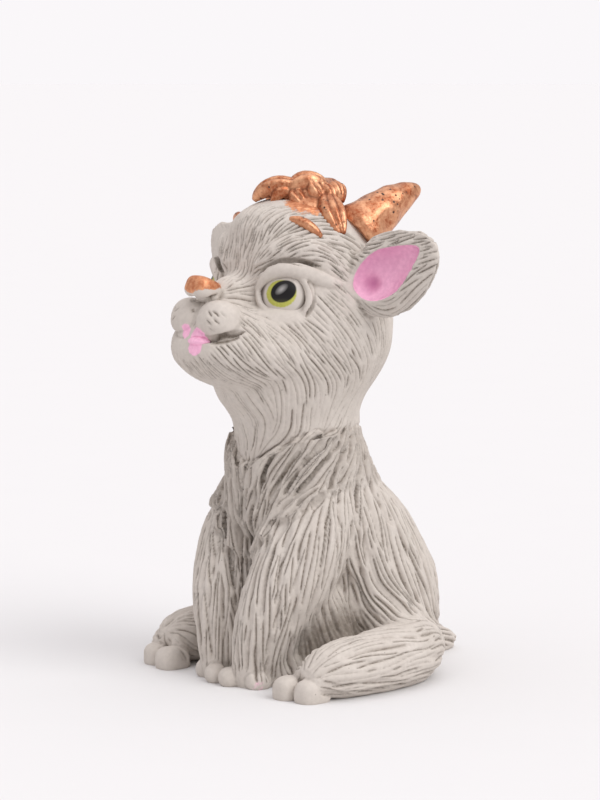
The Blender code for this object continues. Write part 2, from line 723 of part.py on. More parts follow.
class Coat:
    """Grooves that follow the flow of the coat and keep their distance from each other."""

    CELL = 3 * MM
    NEXT_DOOR = [(x, y, z) for x in (-1, 0, 1) for y in (-1, 0, 1) for z in (-1, 0, 1)]

    def __init__(self, skin, seed):
        self.tree = BVHTree.FromPolygons([v.co for v in skin.vertices],
                                         [p.vertices for p in skin.polygons])
        self.skin = skin
        self.dice = random.Random(seed)
        self.cells = {}
        self.lines = []

    def cell(self, point):
        return tuple(math.floor(c / self.CELL) for c in point)

    def crowded(self, point, normal, own):
        room = COAT_SPACING * 0.72
        cx, cy, cz = self.cell(point)
        for dx, dy, dz in self.NEXT_DOOR:
            for other, facing, owner in self.cells.get((cx + dx, cy + dy, cz + dz), ()):
                if owner != own and (other - point).length_squared < room * room:
                    if facing.dot(normal) > 0.2:
                        return True
        return False

    def add(self, line, width, depth):
        """A groove: its points with their normals, its half width and its depth."""
        for point, normal in line:
            self.cells.setdefault(self.cell(point), []).append((point, normal, len(self.lines)))
        self.lines.append((line, max(width, NARROWEST_GROOVE), depth))

    def add_crease(self, width, depth, points):
        line = []
        for row in between(points, 6):
            place, facing, _, _ = self.tree.find_nearest(at(*row))
            line.append((place, facing))
        self.add(line, width * MM, depth * MM)

    def trace(self, point, normal, sense, reach):
        """Points of a groove from a spot, one way, until it has its length or meets another."""
        own = len(self.lines)
        line = []
        gone = 0
        before = None
        while gone < reach:
            way = flow(point)
            way -= normal * way.dot(normal)
            if way.length < 1e-6:
                break
            way = way.normalized() * sense
            if before and way.dot(before) < 0.5:
                break
            place, facing, _, _ = self.tree.find_nearest(point + way * COAT_STEP)
            facing = facing.lerp(normal, 0.4).normalized()
            if facing.dot(normal) < 0.7 or bare(place) or self.crowded(place, facing, own):
                break
            line.append((place, facing))
            point, normal, before = place, facing, way
            gone += COAT_STEP
        return line

    def grow(self):
        """Fills the skin with grooves."""
        picks = list(range(0, len(self.skin.vertices), 4))
        self.dice.shuffle(picks)
        for pick in picks:
            spot = self.skin.vertices[pick].co.copy()
            facing = self.skin.vertices[pick].normal.copy()
            if bare(spot) or self.crowded(spot, facing, -1):
                continue
            reach = self.dice.uniform(COAT_SHORTEST, COAT_LONGEST) / 2
            line = self.trace(spot, facing, -1, reach)[::-1]
            line.append((spot, facing))
            line += self.trace(spot, facing, 1, reach)
            depth = lerp(BODY_COAT_DEPTH, MANE_COAT_DEPTH, mane_cover(spot))
            if spot.z > COLLAR_HEIGHT:
                depth = HEAD_COAT_DEPTH
            if len(line) * COAT_STEP > COAT_SHORTEST / 2:
                self.add(line, COAT_WIDTH, depth)


def carve(skin, lines):
    """Grooves with tapered ends, cut into the skin along the lines."""
    samples = []
    for line, width, depth in lines:
        last = len(line) - 1
        for i, (point, _) in enumerate(line):
            way = (line[min(i + 1, last)][0] - line[max(i - 1, 0)][0]).normalized()
            fade = min(1, 0.35 + 3.2 * min(i, last - i) / max(last, 1))
            samples.append((point, way, width, depth * fade))
    tree = KDTree(len(samples))
    for i, sample in enumerate(samples):
        tree.insert(sample[0], i)
    tree.balance()
    moves = []
    for vert in skin.vertices:
        cut = 0
        for _, i, _ in tree.find_range(vert.co, COAT_WIDTH * 1.3):
            point, way, width, depth = samples[i]
            away = vert.co - point
            along = away.dot(way)
            if abs(along) < COAT_STEP:
                side = math.sqrt(max(0, away.length_squared - along * along))
                cut = max(cut, depth * (1 - side / width))
        moves.append(-vert.normal * cut)
    for vert, move in zip(skin.vertices, moves):
        vert.co += move


def cut_flat(skin):
    """The underside cut level at z = 0 and closed with one face."""
    bm = bmesh.new()
    bm.from_mesh(skin)
    cut = bmesh.ops.bisect_plane(bm, geom=bm.verts[:] + bm.edges[:] + bm.faces[:],
                                 plane_co=(0, 0, 0), plane_no=(0, 0, 1), clear_inner=True)
    rim = [item for item in cut["geom_cut"] if isinstance(item, bmesh.types.BMEdge)]
    bmesh.ops.contextual_create(bm, geom=rim)
    bmesh.ops.triangulate(bm, faces=bm.faces)
    return mesh_of(bm, "goat_figurine")


def on_face(point):
    return point.z > 59 * MM and point.y < 3 * MM


def thinned(skin, face_turn, triangles):
    """Fewer triangles in all, taken off the face alone or off everything but the face."""
    holder = bpy.data.objects.new("dense", skin)
    bpy.context.scene.collection.objects.link(holder)
    holder.vertex_groups.clear()
    loose = holder.vertex_groups.new(name="loose")
    for vert in skin.vertices:
        loose.add([vert.index], 1.0 if on_face(vert.co) == face_turn else 0.0, "REPLACE")
    thin = holder.modifiers.new("thin", "DECIMATE")
    thin.ratio = triangles / len(skin.polygons)
    thin.vertex_group = loose.name
    graph = bpy.context.evaluated_depsgraph_get()
    made = bpy.data.meshes.new_from_object(holder.evaluated_get(graph))
    bpy.data.objects.remove(holder)
    return made


def triangulated(skin):
    bm = bmesh.new()
    bm.from_mesh(skin)
    bmesh.ops.triangulate(bm, faces=bm.faces, quad_method="SHORT_EDGE")
    return mesh_of(bm, "triangles")


def stone():
    """Fine cast stone: pale grey, dull."""
    material = bpy.data.materials.new("cast_stone")
    material.use_nodes = True
    shader = material.node_tree.nodes["Principled BSDF"]
    shader.inputs["Base Color"].default_value = (0.56, 0.51, 0.46, 1)
    shader.inputs["Roughness"].default_value = 0.8
    return material


def main():
    for old in list(bpy.data.objects):
        bpy.data.objects.remove(old)
    skin = fused(soft_masses(), 0.8 * MM, 10)
    lay_mane(skin)
    skin = fused(with_features(skin), VOXEL, 2)
    for side in SIDES:
        press_ear(skin, side)
    coat = Coat(skin, 5)
    for width, depth, right_share, points in CREASES:
        coat.add_crease(width, depth, points)
        if right_share:
            coat.add_crease(width, depth * right_share, [(-x, y, z) for x, y, z in points])
    coat.grow()
    carve(skin, coat.lines)
    skin = triangulated(skin)
    of_face = sum(on_face(face.center) for face in skin.polygons)
    skin = thinned(skin, False, of_face + BODY_TRIANGLES)
    skin = thinned(skin, True, FACE_TRIANGLES + BODY_TRIANGLES)
    skin = cut_flat(skin)
    goat = bpy.data.objects.new("goat_figurine", skin)
    bpy.context.scene.collection.objects.link(goat)
    goat.data.materials.append(stone())


main()
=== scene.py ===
"""A seated kid goat cast in fine grey stone, with paint on horns, forelock, brows, nose, mouth,
eyes and ears, on a pale studio floor."""

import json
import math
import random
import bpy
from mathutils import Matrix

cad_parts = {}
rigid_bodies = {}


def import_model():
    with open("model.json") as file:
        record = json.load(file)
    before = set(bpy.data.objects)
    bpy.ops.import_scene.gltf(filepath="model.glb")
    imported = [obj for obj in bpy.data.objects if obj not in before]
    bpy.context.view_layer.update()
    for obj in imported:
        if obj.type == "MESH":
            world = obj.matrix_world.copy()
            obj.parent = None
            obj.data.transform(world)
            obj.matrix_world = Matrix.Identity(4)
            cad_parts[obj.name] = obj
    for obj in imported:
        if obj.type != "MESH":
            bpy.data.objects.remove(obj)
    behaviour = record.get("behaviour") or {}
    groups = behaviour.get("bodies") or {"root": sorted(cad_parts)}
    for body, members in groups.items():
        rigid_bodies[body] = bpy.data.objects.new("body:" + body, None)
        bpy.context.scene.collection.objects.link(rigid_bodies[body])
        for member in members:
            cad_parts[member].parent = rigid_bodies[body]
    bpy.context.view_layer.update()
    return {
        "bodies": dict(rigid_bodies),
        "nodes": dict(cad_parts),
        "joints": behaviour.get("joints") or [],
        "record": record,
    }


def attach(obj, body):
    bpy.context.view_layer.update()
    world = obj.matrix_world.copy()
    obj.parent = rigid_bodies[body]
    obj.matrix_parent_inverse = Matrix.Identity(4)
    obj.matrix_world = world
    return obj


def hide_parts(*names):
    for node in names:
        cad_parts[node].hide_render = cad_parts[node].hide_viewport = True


bl_info = {
    "name": "Kid goat ornament",
    "version": (1, 0, 0),
    "blender": (4, 5, 0),
    "location": "3D View > Sidebar > Goat",
    "description": "Models a cast stone kid goat with a carved coat, painted by hand",
    "category": "Add Mesh",
}

import bmesh
import bpy
import numpy as np
from bpy.props import FloatProperty, FloatVectorProperty, PointerProperty
from mathutils import Matrix, Vector, noise
from mathutils.bvhtree import BVHTree
from mathutils.kdtree import KDTree

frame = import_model()

MM = 0.001
SIDES = (1, -1)
UP = Vector((0, 0, 1))
ACROSS = Vector((1, 0, 0))
AHEAD = Vector((0, -1, 0))
NODE = "goat_figurine"

# Level sections through the torso, in millimetres: height, the y of the middle,
# half the width, the reach ahead of the middle and the reach behind it.
TORSO = (
    (-3, 1, 17.5, 10, 18),
    (5, 1, 18, 10, 18.8),
    (12, 1, 18, 10, 19.2),
    (18, 0.7, 17.8, 12, 18.6),
    (23, -1, 17.3, 15, 17.9),
    (27, -2.6, 16.8, 17, 17),
    (30.5, -4, 16, 18, 16),
    (33.5, -5.5, 14.9, 16.6, 14.7),
    (37, -7.8, 13.4, 14.2, 13.8),
    (41, -9, 12.8, 13.2, 13),
    (45, -9.3, 12, 12.4, 12.2),
)

# Level sections through the head and the neck, in the same order.
HEAD = (
    (38, -9, 10, 10, 10),
    (45, -9.7, 11.6, 12, 11.8),
    (48.6, -10.3, 11.7, 12.4, 12),
    (51, -10.3, 12.4, 14.5, 12.2),
    (53.5, -9.9, 13.7, 16.5, 12.8),
    (57, -9.1, 15.7, 17, 14.2),
    (61, -8.5, 17.6, 17, 15.2),
    (65, -8.3, 18.2, 16.6, 15.4),
    (69, -8.3, 18, 16.2, 15.3),
    (74, -8.3, 17.1, 15.8, 14.8),
    (78, -8.4, 16, 15.4, 13.8),
    (82, -8.6, 14, 14.4, 11.8),
    (85, -9, 12.2, 13.3, 9.8),
    (87.4, -9.5, 9.4, 10.6, 7.6),
    (89.2, -10, 5, 5.6, 4.2),
)

# The chin and jaw, one broad egg under the muzzle.
JAW_Y = -20 * MM
JAW_HEIGHT = 62.5 * MM
JAW_HALVES = (15 * MM, 16.1 * MM, 8.5 * MM)

# A foreleg from the sole to the shoulder: distance from the middle plane, y, height,
# half width and half depth.
FORELEG = (
    (4.3, -23.6, -2, 3.6, 3.6),
    (4.7, -23.2, 3, 4.4, 5.4),
    (5.8, -21.4, 9, 5.8, 7.6),
    (7.2, -19.8, 15, 6.7, 8.2),
    (8.5, -17.9, 20.5, 7.4, 8.4),
    (9.5, -14.6, 27, 7.4, 8.2),
    (9.3, -11.2, 33, 6, 6.6),
    (8.4, -9, 37, 4, 4.4),
)

# A hind leg from the hoof to the hip: distance from the middle plane, y, height of the
# middle, half width and half height.
HIND_LEG = (
    (21.4, -25.2, 2.8, 4.4, 2.9),
    (21.6, -22.8, 3.8, 5.1, 4),
    (22, -20, 4.7, 5.8, 5.2),
    (22, -14.5, 5, 6.3, 5.6),
    (21.4, -7, 5.2, 6.6, 6),
    (19.5, 0, 5.4, 6.6, 6.2),
    (15.2, 5.4, 5.4, 6.4, 6),
    (10, 9.2, 5.4, 6.4, 6),
)

TAIL_ROOT_Y = 18 * MM
TAIL_TIP_Y = 30 * MM
TAIL_RADIUS = 4 * MM

# Toes, two on each foot: distance from the middle plane, y, half width, the length as a share
# of the width, half height and squareness.
TOE_HEIGHT = 1.4 * MM
TOES = (
    (2.1, -27.2, 2.15, 1.2, 2.1, 0.85),
    (7.5, -25.2, 2.15, 1.2, 2.1, 0.85),
    (17.9, -26, 2.55, 1.3, 2.7, 0.7),
    (22.9, -25, 2.55, 1.3, 2.7, 0.7),
)

# The flank fills the hollow between foreleg and haunch, and a low mass closes it at the foot.
FLANK = Vector((8, -10.5, 8)) * MM
FLANK_RADII = Vector((7, 6.5, 11)) * MM
FOOT_FILL = Vector((8.5, -16.5, 1.5)) * MM
FOOT_FILL_RADII = Vector((4.5, 5, 4.5)) * MM

# The face is set out in its own frame, tilted so that the nose lifts.
FACE_TILT = math.radians(25)
FACE_CENTRE = Vector((0, -9, 69)) * MM
NOSE_HALVES = (2.9 * MM, 3 * MM, 2.1 * MM)
LOBE_HALVES = (4.6 * MM, 4.2 * MM, 3.8 * MM)
LOBE_SPREAD = 3.8 * MM

# Eyes: each has its own frame at the front of the ball, with u towards the ear, v up and
# w along the line of sight.
EYE_SPOT = Vector((9.8, -21.1, 72.6)) * MM
EYE_AIM = Vector((0.56, -0.8, 0.2))
EYE_RADIUS = 6 * MM
EYE_BULGE = 1.7 * MM
# Layers of the painted eye: iris, pupil, the painted highlight on it, the lower pupil, and the rim
# of the ball, where painted shade falls next to the lids.
EYE_LAYERS = ("iris_share", "pupil_share", "painted_glint_share", "pupil_low", "rim")

# Bands round the eye, as rows of u, v, w, half width and half thickness.
UPPER_LID = (
    (-5, 0.6, 0, 0.5, 0.5),
    (-3.7, 2.7, 0.6, 1.05, 1.1),
    (-1.3, 4.1, 1, 1.4, 1.4),
    (1.2, 4.5, 0.8, 1.5, 1.45),
    (3.6, 4.1, 0.2, 1.5, 1.3),
    (6, 3.3, -0.8, 1.4, 1.1),
    (8.4, 2.6, -1.8, 1, 0.9),
    (10, 2.2, -2.8, 0.5, 0.4),
)
OUTER_LID = (
    (2.6, 3.4, 0.2, 0.5, 0.5),
    (4.1, 2.2, 0.2, 0.75, 0.9),
    (4.9, 0.4, 0, 0.8, 0.95),
    (4.9, -1.4, -0.1, 0.75, 0.9),
    (4, -3.3, -0.2, 0.45, 0.55),
)
INNER_LID = (
    (-4.9, 1.2, 0, 0.4, 0.5),
    (-4.8, -0.4, -0.1, 0.55, 0.6),
    (-4.1, -2, 0, 0.55, 0.6),
    (-2.5, -3.2, 0.5, 0.5, 0.5),
)
CHEEK_EDGE = (
    (-4.4, -3.4, 0.3, 0.8, 0.7),
    (-2.4, -4.1, 0.8, 1.3, 1),
    (0, -4.4, 0.9, 1.5, 1.1),
    (2.6, -4.9, 0.3, 1.4, 1),
    (4.8, -5.2, -0.6, 0.9, 0.7),
)
BROW_RIDGE = (
    (-6, 4.9, -0.6, 1.2, 1.1),
    (-3.2, 7, 0.2, 1.9, 1.5),
    (0.3, 8.3, 0.2, 2.2, 1.7),
    (3.8, 8.3, -0.3, 2.1, 1.5),
    (7, 7, -1.6, 1.6, 1.1),
    (9.6, 4.9, -2.9, 0.8, 0.7),
)

# Creases cut by a tool: half width, depth, the share of it on the right half, and points
# of the path on the left half. In order: brow, outer lid, upper lid, mouth cleft, mouth corner,
# groove between the lobes, gap under the nose, and six whisker dashes.
CREASES = (
    (0.6, 1.5, 1, ((5.2, -23.2, 75.9), (7.6, -22.5, 77), (10.2, -20.7, 78.3),
                   (12, -18.7, 78.5), (14, -16.2, 77.7))),
    (0.5, 1.1, 1, ((13.8, -18.5, 75), (14.6, -18, 73.6), (14.6, -17.8, 71.5),
                   (13.6, -19, 68.6))),
    (0.45, 0.5, 1, ((7.5, -22.6, 76.8), (10, -21.4, 77.9), (12.6, -19.2, 77.6))),
    (0.75, 1.6, 0.15, ((1.2, -36, 65), (3, -35.6, 64.9), (5.6, -34.4, 65), (7.8, -32.4, 65.6),
                      (9.5, -30.2, 66.5))),
    (1, 0.9, 0, ((5.4, -34.4, 64.3), (7.4, -32.8, 64.6), (9.2, -31, 65.4))),
    (0.7, 0.4, 0, ((0, -34.2, 71.4), (0, -35.4, 69), (0, -35.6, 67))),
    (0.7, 1.2, 1, ((0.4, -33.9, 71.6), (1.8, -33, 71.7), (3, -31, 72.4))),
    (0.35, 0.55, 1, ((4.6, -35, 70.2), (5.7, -34.8, 69.3))),
    (0.35, 0.55, 1, ((6, -34.8, 70.4), (7.1, -34.3, 69.5))),
    (0.35, 0.45, 1, ((4.8, -35.2, 68.5), (5.9, -35, 67.6))),
    (0.35, 0.5, 1, ((6.4, -34.8, 68.7), (7.5, -34.3, 67.8))),
    (0.3, 0.25, 1, ((5.4, -35, 66.9), (6.4, -34.8, 66.1))),
    (0.3, 0.25, 1, ((7.6, -34, 70.2), (8.5, -33.4, 69.3))),
)

# Ears: broad leaves that face ahead and a little outward. Each section is the share of the way
# from the root to the tip, the lower edge, the upper edge and half the thickness.
EAR_REACH = 31 * MM
EAR_ROOT_OUT = 12 * MM
EAR_ROOT_Y = -8.6 * MM
EAR_TURN = 0.2
EAR = (
    (0, 70.5, 79, 2.6),
    (0.22, 68.8, 80.2, 2.9),
    (0.38, 67.9, 82.1, 2.8),
    (0.53, 68.4, 83.8, 2.4),
    (0.68, 70.3, 84.9, 2),
    (0.81, 72.8, 85.7, 1.6),
    (0.9, 75.4, 86.1, 1.3),
    (0.96, 78.2, 86.2, 1),
    (1, 81.4, 85.6, 0.6),
)
FAR_EAR_DROP = 1.2 * MM
EAR_HOLLOW = Vector((23, -6.8, 77.1)) * MM
EAR_HOLLOW_AIM = Vector((0.3, -0.95, 0.05))
EAR_HOLLOW_LEAN = Vector((-7, 0, 10.5))
EAR_HOLLOW_HALF_WIDTH = 8 * MM
EAR_HOLLOW_HALF_HEIGHT = 4.3 * MM
EAR_HOLLOW_DEPTH = 3.4 * MM
# The hollow narrows towards the tip of the ear by this share.
EAR_HOLLOW_TAPER = 0.36
# Its outline is pointed at 1 and an oval at 2.
EAR_HOLLOW_POWER = 1.4
FAR_EAR_HOLLOW_SHARE = 0.72
EAR_PIT = Vector((18.4, -7.6, 74.4)) * MM
EAR_PIT_REACH = 2.5 * MM
EAR_PIT_DEPTH = 1.8 * MM

# Mouth: a cleft between the lobes and the lower lip, with the tongue in it.
TONGUE = Vector((1.8, -34.3, 64.2)) * MM
TONGUE_RADII = Vector((2.6, 1.7, 0.9)) * MM
LIP = Vector((0, -33.2, 61.9)) * MM
LIP_RADII = Vector((6.4, 3.2, 2.2)) * MM

# The mane lies over the chest like a bib: its collar dips in front and its hem ends in a point.
MANE_THICKNESS = 1.5 * MM
MANE_EDGE = 0.7 * MM
MANE_BACK_SHARE = 0.1
COLLAR_HEIGHT = 47.2 * MM
COLLAR_DIP = 6.4 * MM
COLLAR_SPREAD = math.radians(62)
HEM_HEIGHT = 36 * MM
HEM_DIP = 17.5 * MM
HEM_SPREAD = math.radians(82)

# Horns: fat cones that lean back over the ears.
HORN_ROOT = Vector((9.6, -4.2, 82.6)) * MM
HORN_TIP = Vector((12.2, 9.4, 91)) * MM
HORN_BEND = 1.1 * MM
# Share of the way from root to tip, and the radius there.
HORN = (
    (0, 4.9),
    (0.12, 5.3),
    (0.26, 4.5),
    (0.5, 3.7),
    (0.75, 2.6),
    (0.9, 1.7),
    (0.97, 1),
    (1, 0.4),
)

# Grain of the skins: the soft masses first, then each piece with its sharper forms.
SOFT_VOXEL = 0.8 * MM
HEAD_VOXEL = 0.232 * MM
BODY_VOXEL = 0.26 * MM
HORN_VOXEL = 0.22 * MM
FORELOCK_VOXEL = 0.2 * MM

# Grooves are traced in short steps and taper off over this length at both ends.
COAT_STEP = 0.4 * MM
GROOVE_TAPER = 1.6 * MM
GROOVE_SHORTEST = 1.4 * MM
# No groove is looked for farther from a point than this, and one this deep is fully darkened by the
# wash and the painted shade in it.
CARVE_REACH = 1.9 * MM
WASH_AND_SHADE_DEPTH = 0.42 * MM
# Heights and distances that part the zones of the coat.
FOREHEAD_HEIGHT = 76 * MM
FAR_EAR_OUT = -20 * MM
EAR_HEIGHT = 60 * MM
CHIN_HEIGHT = 56 * MM
NECK_HEIGHT = 39 * MM
HAUNCH_HEIGHT = 12 * MM
HAUNCH_OUT = 14 * MM
SOLE_HEIGHT = 0.8 * MM
# Broad clumps of hair are cut first, this many times wider apart than the fine grooves.
CLUMPS = 2.7
# The head and the body are two skins: the neck runs down inside the mane.
NECK_CUT = 38 * MM
BODY_CUT = 49.5 * MM
NECK_INSET = 0.9 * MM

# The camera looks at a point in the middle of the goat. The scale of the picture there, the
# height of the picture in pixels, and the long side of the sensor in millimetres set the lens.
GAZE_AT = Vector((-1.72, -7.94, 51.24)) * MM
PIXELS_A_METRE = 5330
PICTURE_HEIGHT = 800
SENSOR = 36


def linear(code):
    """An sRGB hex value such as #C2B8B0 as linear red, green and blue."""
    values = [int(code[i:i + 2], 16) / 255 for i in (1, 3, 5)]
    return tuple(v / 12.92 if v <= 0.04045 else ((v + 0.055) / 1.055) ** 2.4 for v in values)


class GoatCoat(bpy.types.PropertyGroup):
    """Sizes of the grooves that make the coat."""

    head_gap: FloatProperty(name="Head gap", description="Distance between grooves on the head",
                            default=0.74 * MM, unit="LENGTH", precision=5)
    mane_gap: FloatProperty(name="Mane gap", description="Distance between grooves in the mane",
                            default=1.15 * MM, unit="LENGTH", precision=5)
    body_gap: FloatProperty(name="Body gap", description="Distance between grooves on the body",
                            default=1.05 * MM, unit="LENGTH", precision=5)
    head_depth: FloatProperty(name="Head depth", description="Depth of the grooves on the head",
                              default=0.42 * MM, unit="LENGTH", precision=5)
    mane_depth: FloatProperty(name="Mane depth", description="Depth of the grooves in the mane",
                              default=1.2 * MM, unit="LENGTH", precision=5)
    body_depth: FloatProperty(name="Body depth", description="Depth of the grooves on the body",
                              default=0.62 * MM, unit="LENGTH", precision=5)


class GoatPaint(bpy.types.PropertyGroup):
    """Colours of the casting and its paints."""

    stone: FloatVectorProperty(name="Stone", description="Fine grey cast stone", subtype="COLOR",
                               default=linear("#CAC2BA"))
    # Dark wash left in the grooves. The same colour also paints the shade in grooves, folds, under
    # the belly and round the eyeballs.
    wash_and_shade: FloatVectorProperty(name="Wash", description="Dark wash left in the grooves",
                              subtype="COLOR", default=linear("#66594B"))
    copper: FloatVectorProperty(name="Copper", description="Copper paint", subtype="COLOR",
                                default=linear("#D08E68"))
    pink: FloatVectorProperty(name="Pink", description="Pink paint", subtype="COLOR",
                              default=linear("#EFB4D0"))
    iris: FloatVectorProperty(name="Iris", description="Yellow-green ring", subtype="COLOR",
                              default=linear("#B4B456"))
    pupil: FloatVectorProperty(name="Pupil", description="Near-black paint", subtype="COLOR",
                               default=linear("#121010"))
    # The painted highlight on the pupil, a pale glint.
    painted_glint: FloatVectorProperty(name="Dab", description="Pale dab on the pupil", subtype="COLOR",
                             default=linear("#DAD7D4"))


class GoatStage(bpy.types.PropertyGroup):
    """Camera, floor and light."""

    distance: FloatProperty(name="Distance", description="Camera to the goat", default=0.6,
                            unit="LENGTH")
    bearing: FloatProperty(name="Bearing", description="Camera round the goat from its front",
                           default=math.radians(51), subtype="ANGLE")
    rise: FloatProperty(name="Rise", description="Camera above the level", subtype="ANGLE",
                        default=math.radians(6.7))
    floor: FloatVectorProperty(name="Floor", description="Pale paper", subtype="COLOR",
                               default=linear("#E2E1E1"))
    sky: FloatVectorProperty(name="Sky", description="Soft light all round", subtype="COLOR",
                             default=linear("#FFFCFE"))


def at(x, y, z):
    """A point given in millimetres."""
    return Vector((x, y, z)) * MM


def flipped(point, side):
    """A point or a way on the left half, or its mirror image on the right when side is -1."""
    return point * Vector((side, 1, 1))


def lerp(a, b, t):
    """A value part of the way from one to another."""
    return a + (b - a) * t


def ease(t):
    """A smooth step from 0 to 1."""
    t = min(max(t, 0), 1)
    return t * t * (3 - 2 * t)


def ball(bm, centre, radii, turn=None):
    """An egg-shaped mass with three half sizes, turned about its centre."""
    scale = Matrix.Diagonal((*radii, 1))
    matrix = Matrix.Translation(centre) @ (turn or Matrix()) @ scale
    bmesh.ops.create_uvsphere(bm, u_segments=32, v_segments=20, radius=1, matrix=matrix)


def ring(bm, centre, side, front, half_width, ahead, behind):
    """A closed loop of edges, oval, with its own reach ahead of the middle and behind."""
    circle = bmesh.ops.create_circle(bm, cap_ends=False, segments=32, radius=1)["verts"]
    for vert in circle:
        x, y = vert.co.x, vert.co.y
        reach = ahead if y > 0 else behind
        vert.co = centre + side * (x * half_width) + front * (y * reach)
    return list({edge for vert in circle for edge in vert.link_edges})


def loft(bm, rings):
    """A closed mass through loops of edges."""
    for low, high in zip(rings, rings[1:]):
        bmesh.ops.bridge_loops(bm, edges=low + high)
    for end in (rings[0], rings[-1]):
        bmesh.ops.contextual_create(bm, geom=end)


def between(rows, steps):
    """Rows of a table with smooth ones put in between (Catmull-Rom)."""
    made = []
    for i in range(len(rows) - 1):
        before, a, b, after = (rows[max(i - 1, 0)], rows[i], rows[i + 1],
                               rows[min(i + 2, len(rows) - 1)])
        for step in range(steps):
            t = step / steps
            row = []
            for p, q, r, s in zip(before, a, b, after):
                row.append(0.5 * (2 * q + (r - p) * t + (2 * p - 5 * q + 4 * r - s) * t * t
                                  + (3 * q - p - 3 * r + s) * t ** 3))
            made.append(row)
    made.append(rows[-1])
    return made


def level_sections(bm, rows):
    rings = []
    for height, y, half_width, ahead, behind in between(rows, 3):
        rings.append(ring(bm, at(0, y, height), ACROSS, AHEAD,
                          half_width * MM, ahead * MM, behind * MM))
    loft(bm, rings)


def limb(bm, points, halves, across=ACROSS):
    """A mass along a path of points. Each has a half width across and a half depth."""
    rings = []
    for i, (point, (wide, deep)) in enumerate(zip(points, halves)):
        along = (points[min(i + 1, len(points) - 1)] - points[max(i - 1, 0)]).normalized()
        front = along.cross(across).normalized()
        side = front.cross(along).normalized()
        rings.append(ring(bm, point, side, front, wide, deep, deep))
    loft(bm, rings)


def leg(bm, rows, side):
    points, halves = [], []
    for out, y, height, wide, deep in between(rows, 3):
        points.append(at(side * out, y, height))
        halves.append((wide * MM, deep * MM))
    limb(bm, points, halves)


def eye_frame(side):
    """From an eye's own frame (u, v, w) to the figure's."""
    aim = flipped(EYE_AIM, side).normalized()
    outward = UP.cross(aim).normalized() * side
    top = (UP - aim * UP.dot(aim)).normalized()
    turn = Matrix((outward, top, aim)).transposed().to_4x4()
    return Matrix.Translation(flipped(EYE_SPOT, side)) @ turn


def turned(u, v, degrees):
    """A place on the eye, as measured along and across a line that leans up by an angle."""
    lean = math.radians(degrees)
    return (u * math.cos(lean) + v * math.sin(lean), v * math.cos(lean) - u * math.sin(lean))


def eye_band(bm, rows, side):
    """A tapering band of clay round an eye."""
    frame = eye_frame(side)
    points, halves = [], []
    for u, v, w, wide, thick in between(rows, 3):
        points.append(frame @ at(u, v, w))
        halves.append((thick * MM, wide * MM))
    limb(bm, points, halves, across=frame.col[2].to_3d())


def leaf(bm, start, middle, end, half_width, half_thickness, outward, ribs=1):
    """A lock of hair: a flat tapering mass on a bent path, with one face outward. With ribs,
    it is a bundle of thinner strands side by side that overlap a little."""
    side = (end - start).cross(outward).normalized()
    overlap = 1.12 if ribs > 1 else 1
    for rib in range(ribs):
        place = (rib - (ribs - 1) / 2) * 2 / ribs
        points, halves = [], []
        for i in range(10):
            t = i / 9
            point = start * (1 - t) ** 2 + middle * (2 * t * (1 - t)) + end * t * t
            share = 0.22 + 0.78 * math.sin(math.pi * (0.1 + 0.86 * t)) ** 0.8
            point = point + side * (place * half_width * share)
            point = point - outward * (0.35 * half_thickness * place * place)
            points.append(point)
            halves.append((half_thickness * share, half_width * share * overlap / ribs))
        limb(bm, points, halves, across=outward)


def pillow(bm, centre, radii, turn, squareness):
    """An egg-shaped mass with flattened faces. Squareness 1 is a plain egg, less is boxier."""
    made = bmesh.ops.create_uvsphere(bm, u_segments=32, v_segments=20, radius=1)["verts"]
    for vert in made:
        vert.co = Vector([math.copysign(abs(c) ** squareness, c) for c in vert.co])
    matrix = Matrix.Translation(centre) @ turn @ Matrix.Diagonal((*radii, 1))
    bmesh.ops.transform(bm, matrix=matrix, verts=made)


def mesh_of(bm, name):
    mesh = bpy.data.meshes.new(name)
    bmesh.ops.recalc_face_normals(bm, faces=bm.faces)
    bm.to_mesh(mesh)
    bm.free()
    return mesh


def fused(mesh, voxel, rounds):
    """The masses of a mesh merged into one skin, which is then smoothed."""
    holder = bpy.data.objects.new("masses", mesh)
    bpy.context.scene.collection.objects.link(holder)
    merge = holder.modifiers.new("merge", "REMESH")
    merge.mode = "VOXEL"
    merge.voxel_size = voxel
    smooth = holder.modifiers.new("smooth", "SMOOTH")
    smooth.factor = 0.5
    smooth.iterations = rounds
    graph = bpy.context.evaluated_depsgraph_get()
    made = bpy.data.meshes.new_from_object(holder.evaluated_get(graph))
    bpy.data.objects.remove(holder)
    return made


def face_frame():
    """From the face's own frame to the figure's."""
    return Matrix.Translation(FACE_CENTRE) @ Matrix.Rotation(-FACE_TILT, 4, "X")


def soft_masses():
    """Torso, head, jaw, legs and tail: everything that flows together."""
    bm = bmesh.new()
    level_sections(bm, TORSO)
    level_sections(bm, HEAD)
    ball(bm, Vector((0, JAW_Y, JAW_HEIGHT)), JAW_HALVES)
    for side in SIDES:
        leg(bm, FORELEG, side)
        leg(bm, HIND_LEG, side)
        ball(bm, flipped(FLANK, side), FLANK_RADII)
        ball(bm, flipped(FOOT_FILL, side), FOOT_FILL_RADII)
    tail = [Vector((0, lerp(TAIL_ROOT_Y, TAIL_TIP_Y, t), lerp(3.4, 1.2, t) * MM))
            for t in (0, 0.35, 0.7, 0.9, 1)]
    limb(bm, tail, [(TAIL_RADIUS * s, TAIL_RADIUS * s) for s in (1.1, 1, 0.75, 0.5, 0.25)])
    frame = face_frame()
    turn = frame.to_3x3().to_4x4()
    ball(bm, frame @ at(0, -12.4, -4.2), (5 * MM, 8 * MM, 4.8 * MM), turn)
    ball(bm, frame @ at(0, -15, -10.5), (9.5 * MM, 7.5 * MM, 5.5 * MM), turn)
    ball(bm, LIP, LIP_RADII)
    for side in SIDES:
        eye_band(bm, BROW_RIDGE, side)
        eye_band(bm, CHEEK_EDGE, side)
    return mesh_of(bm, "soft masses")


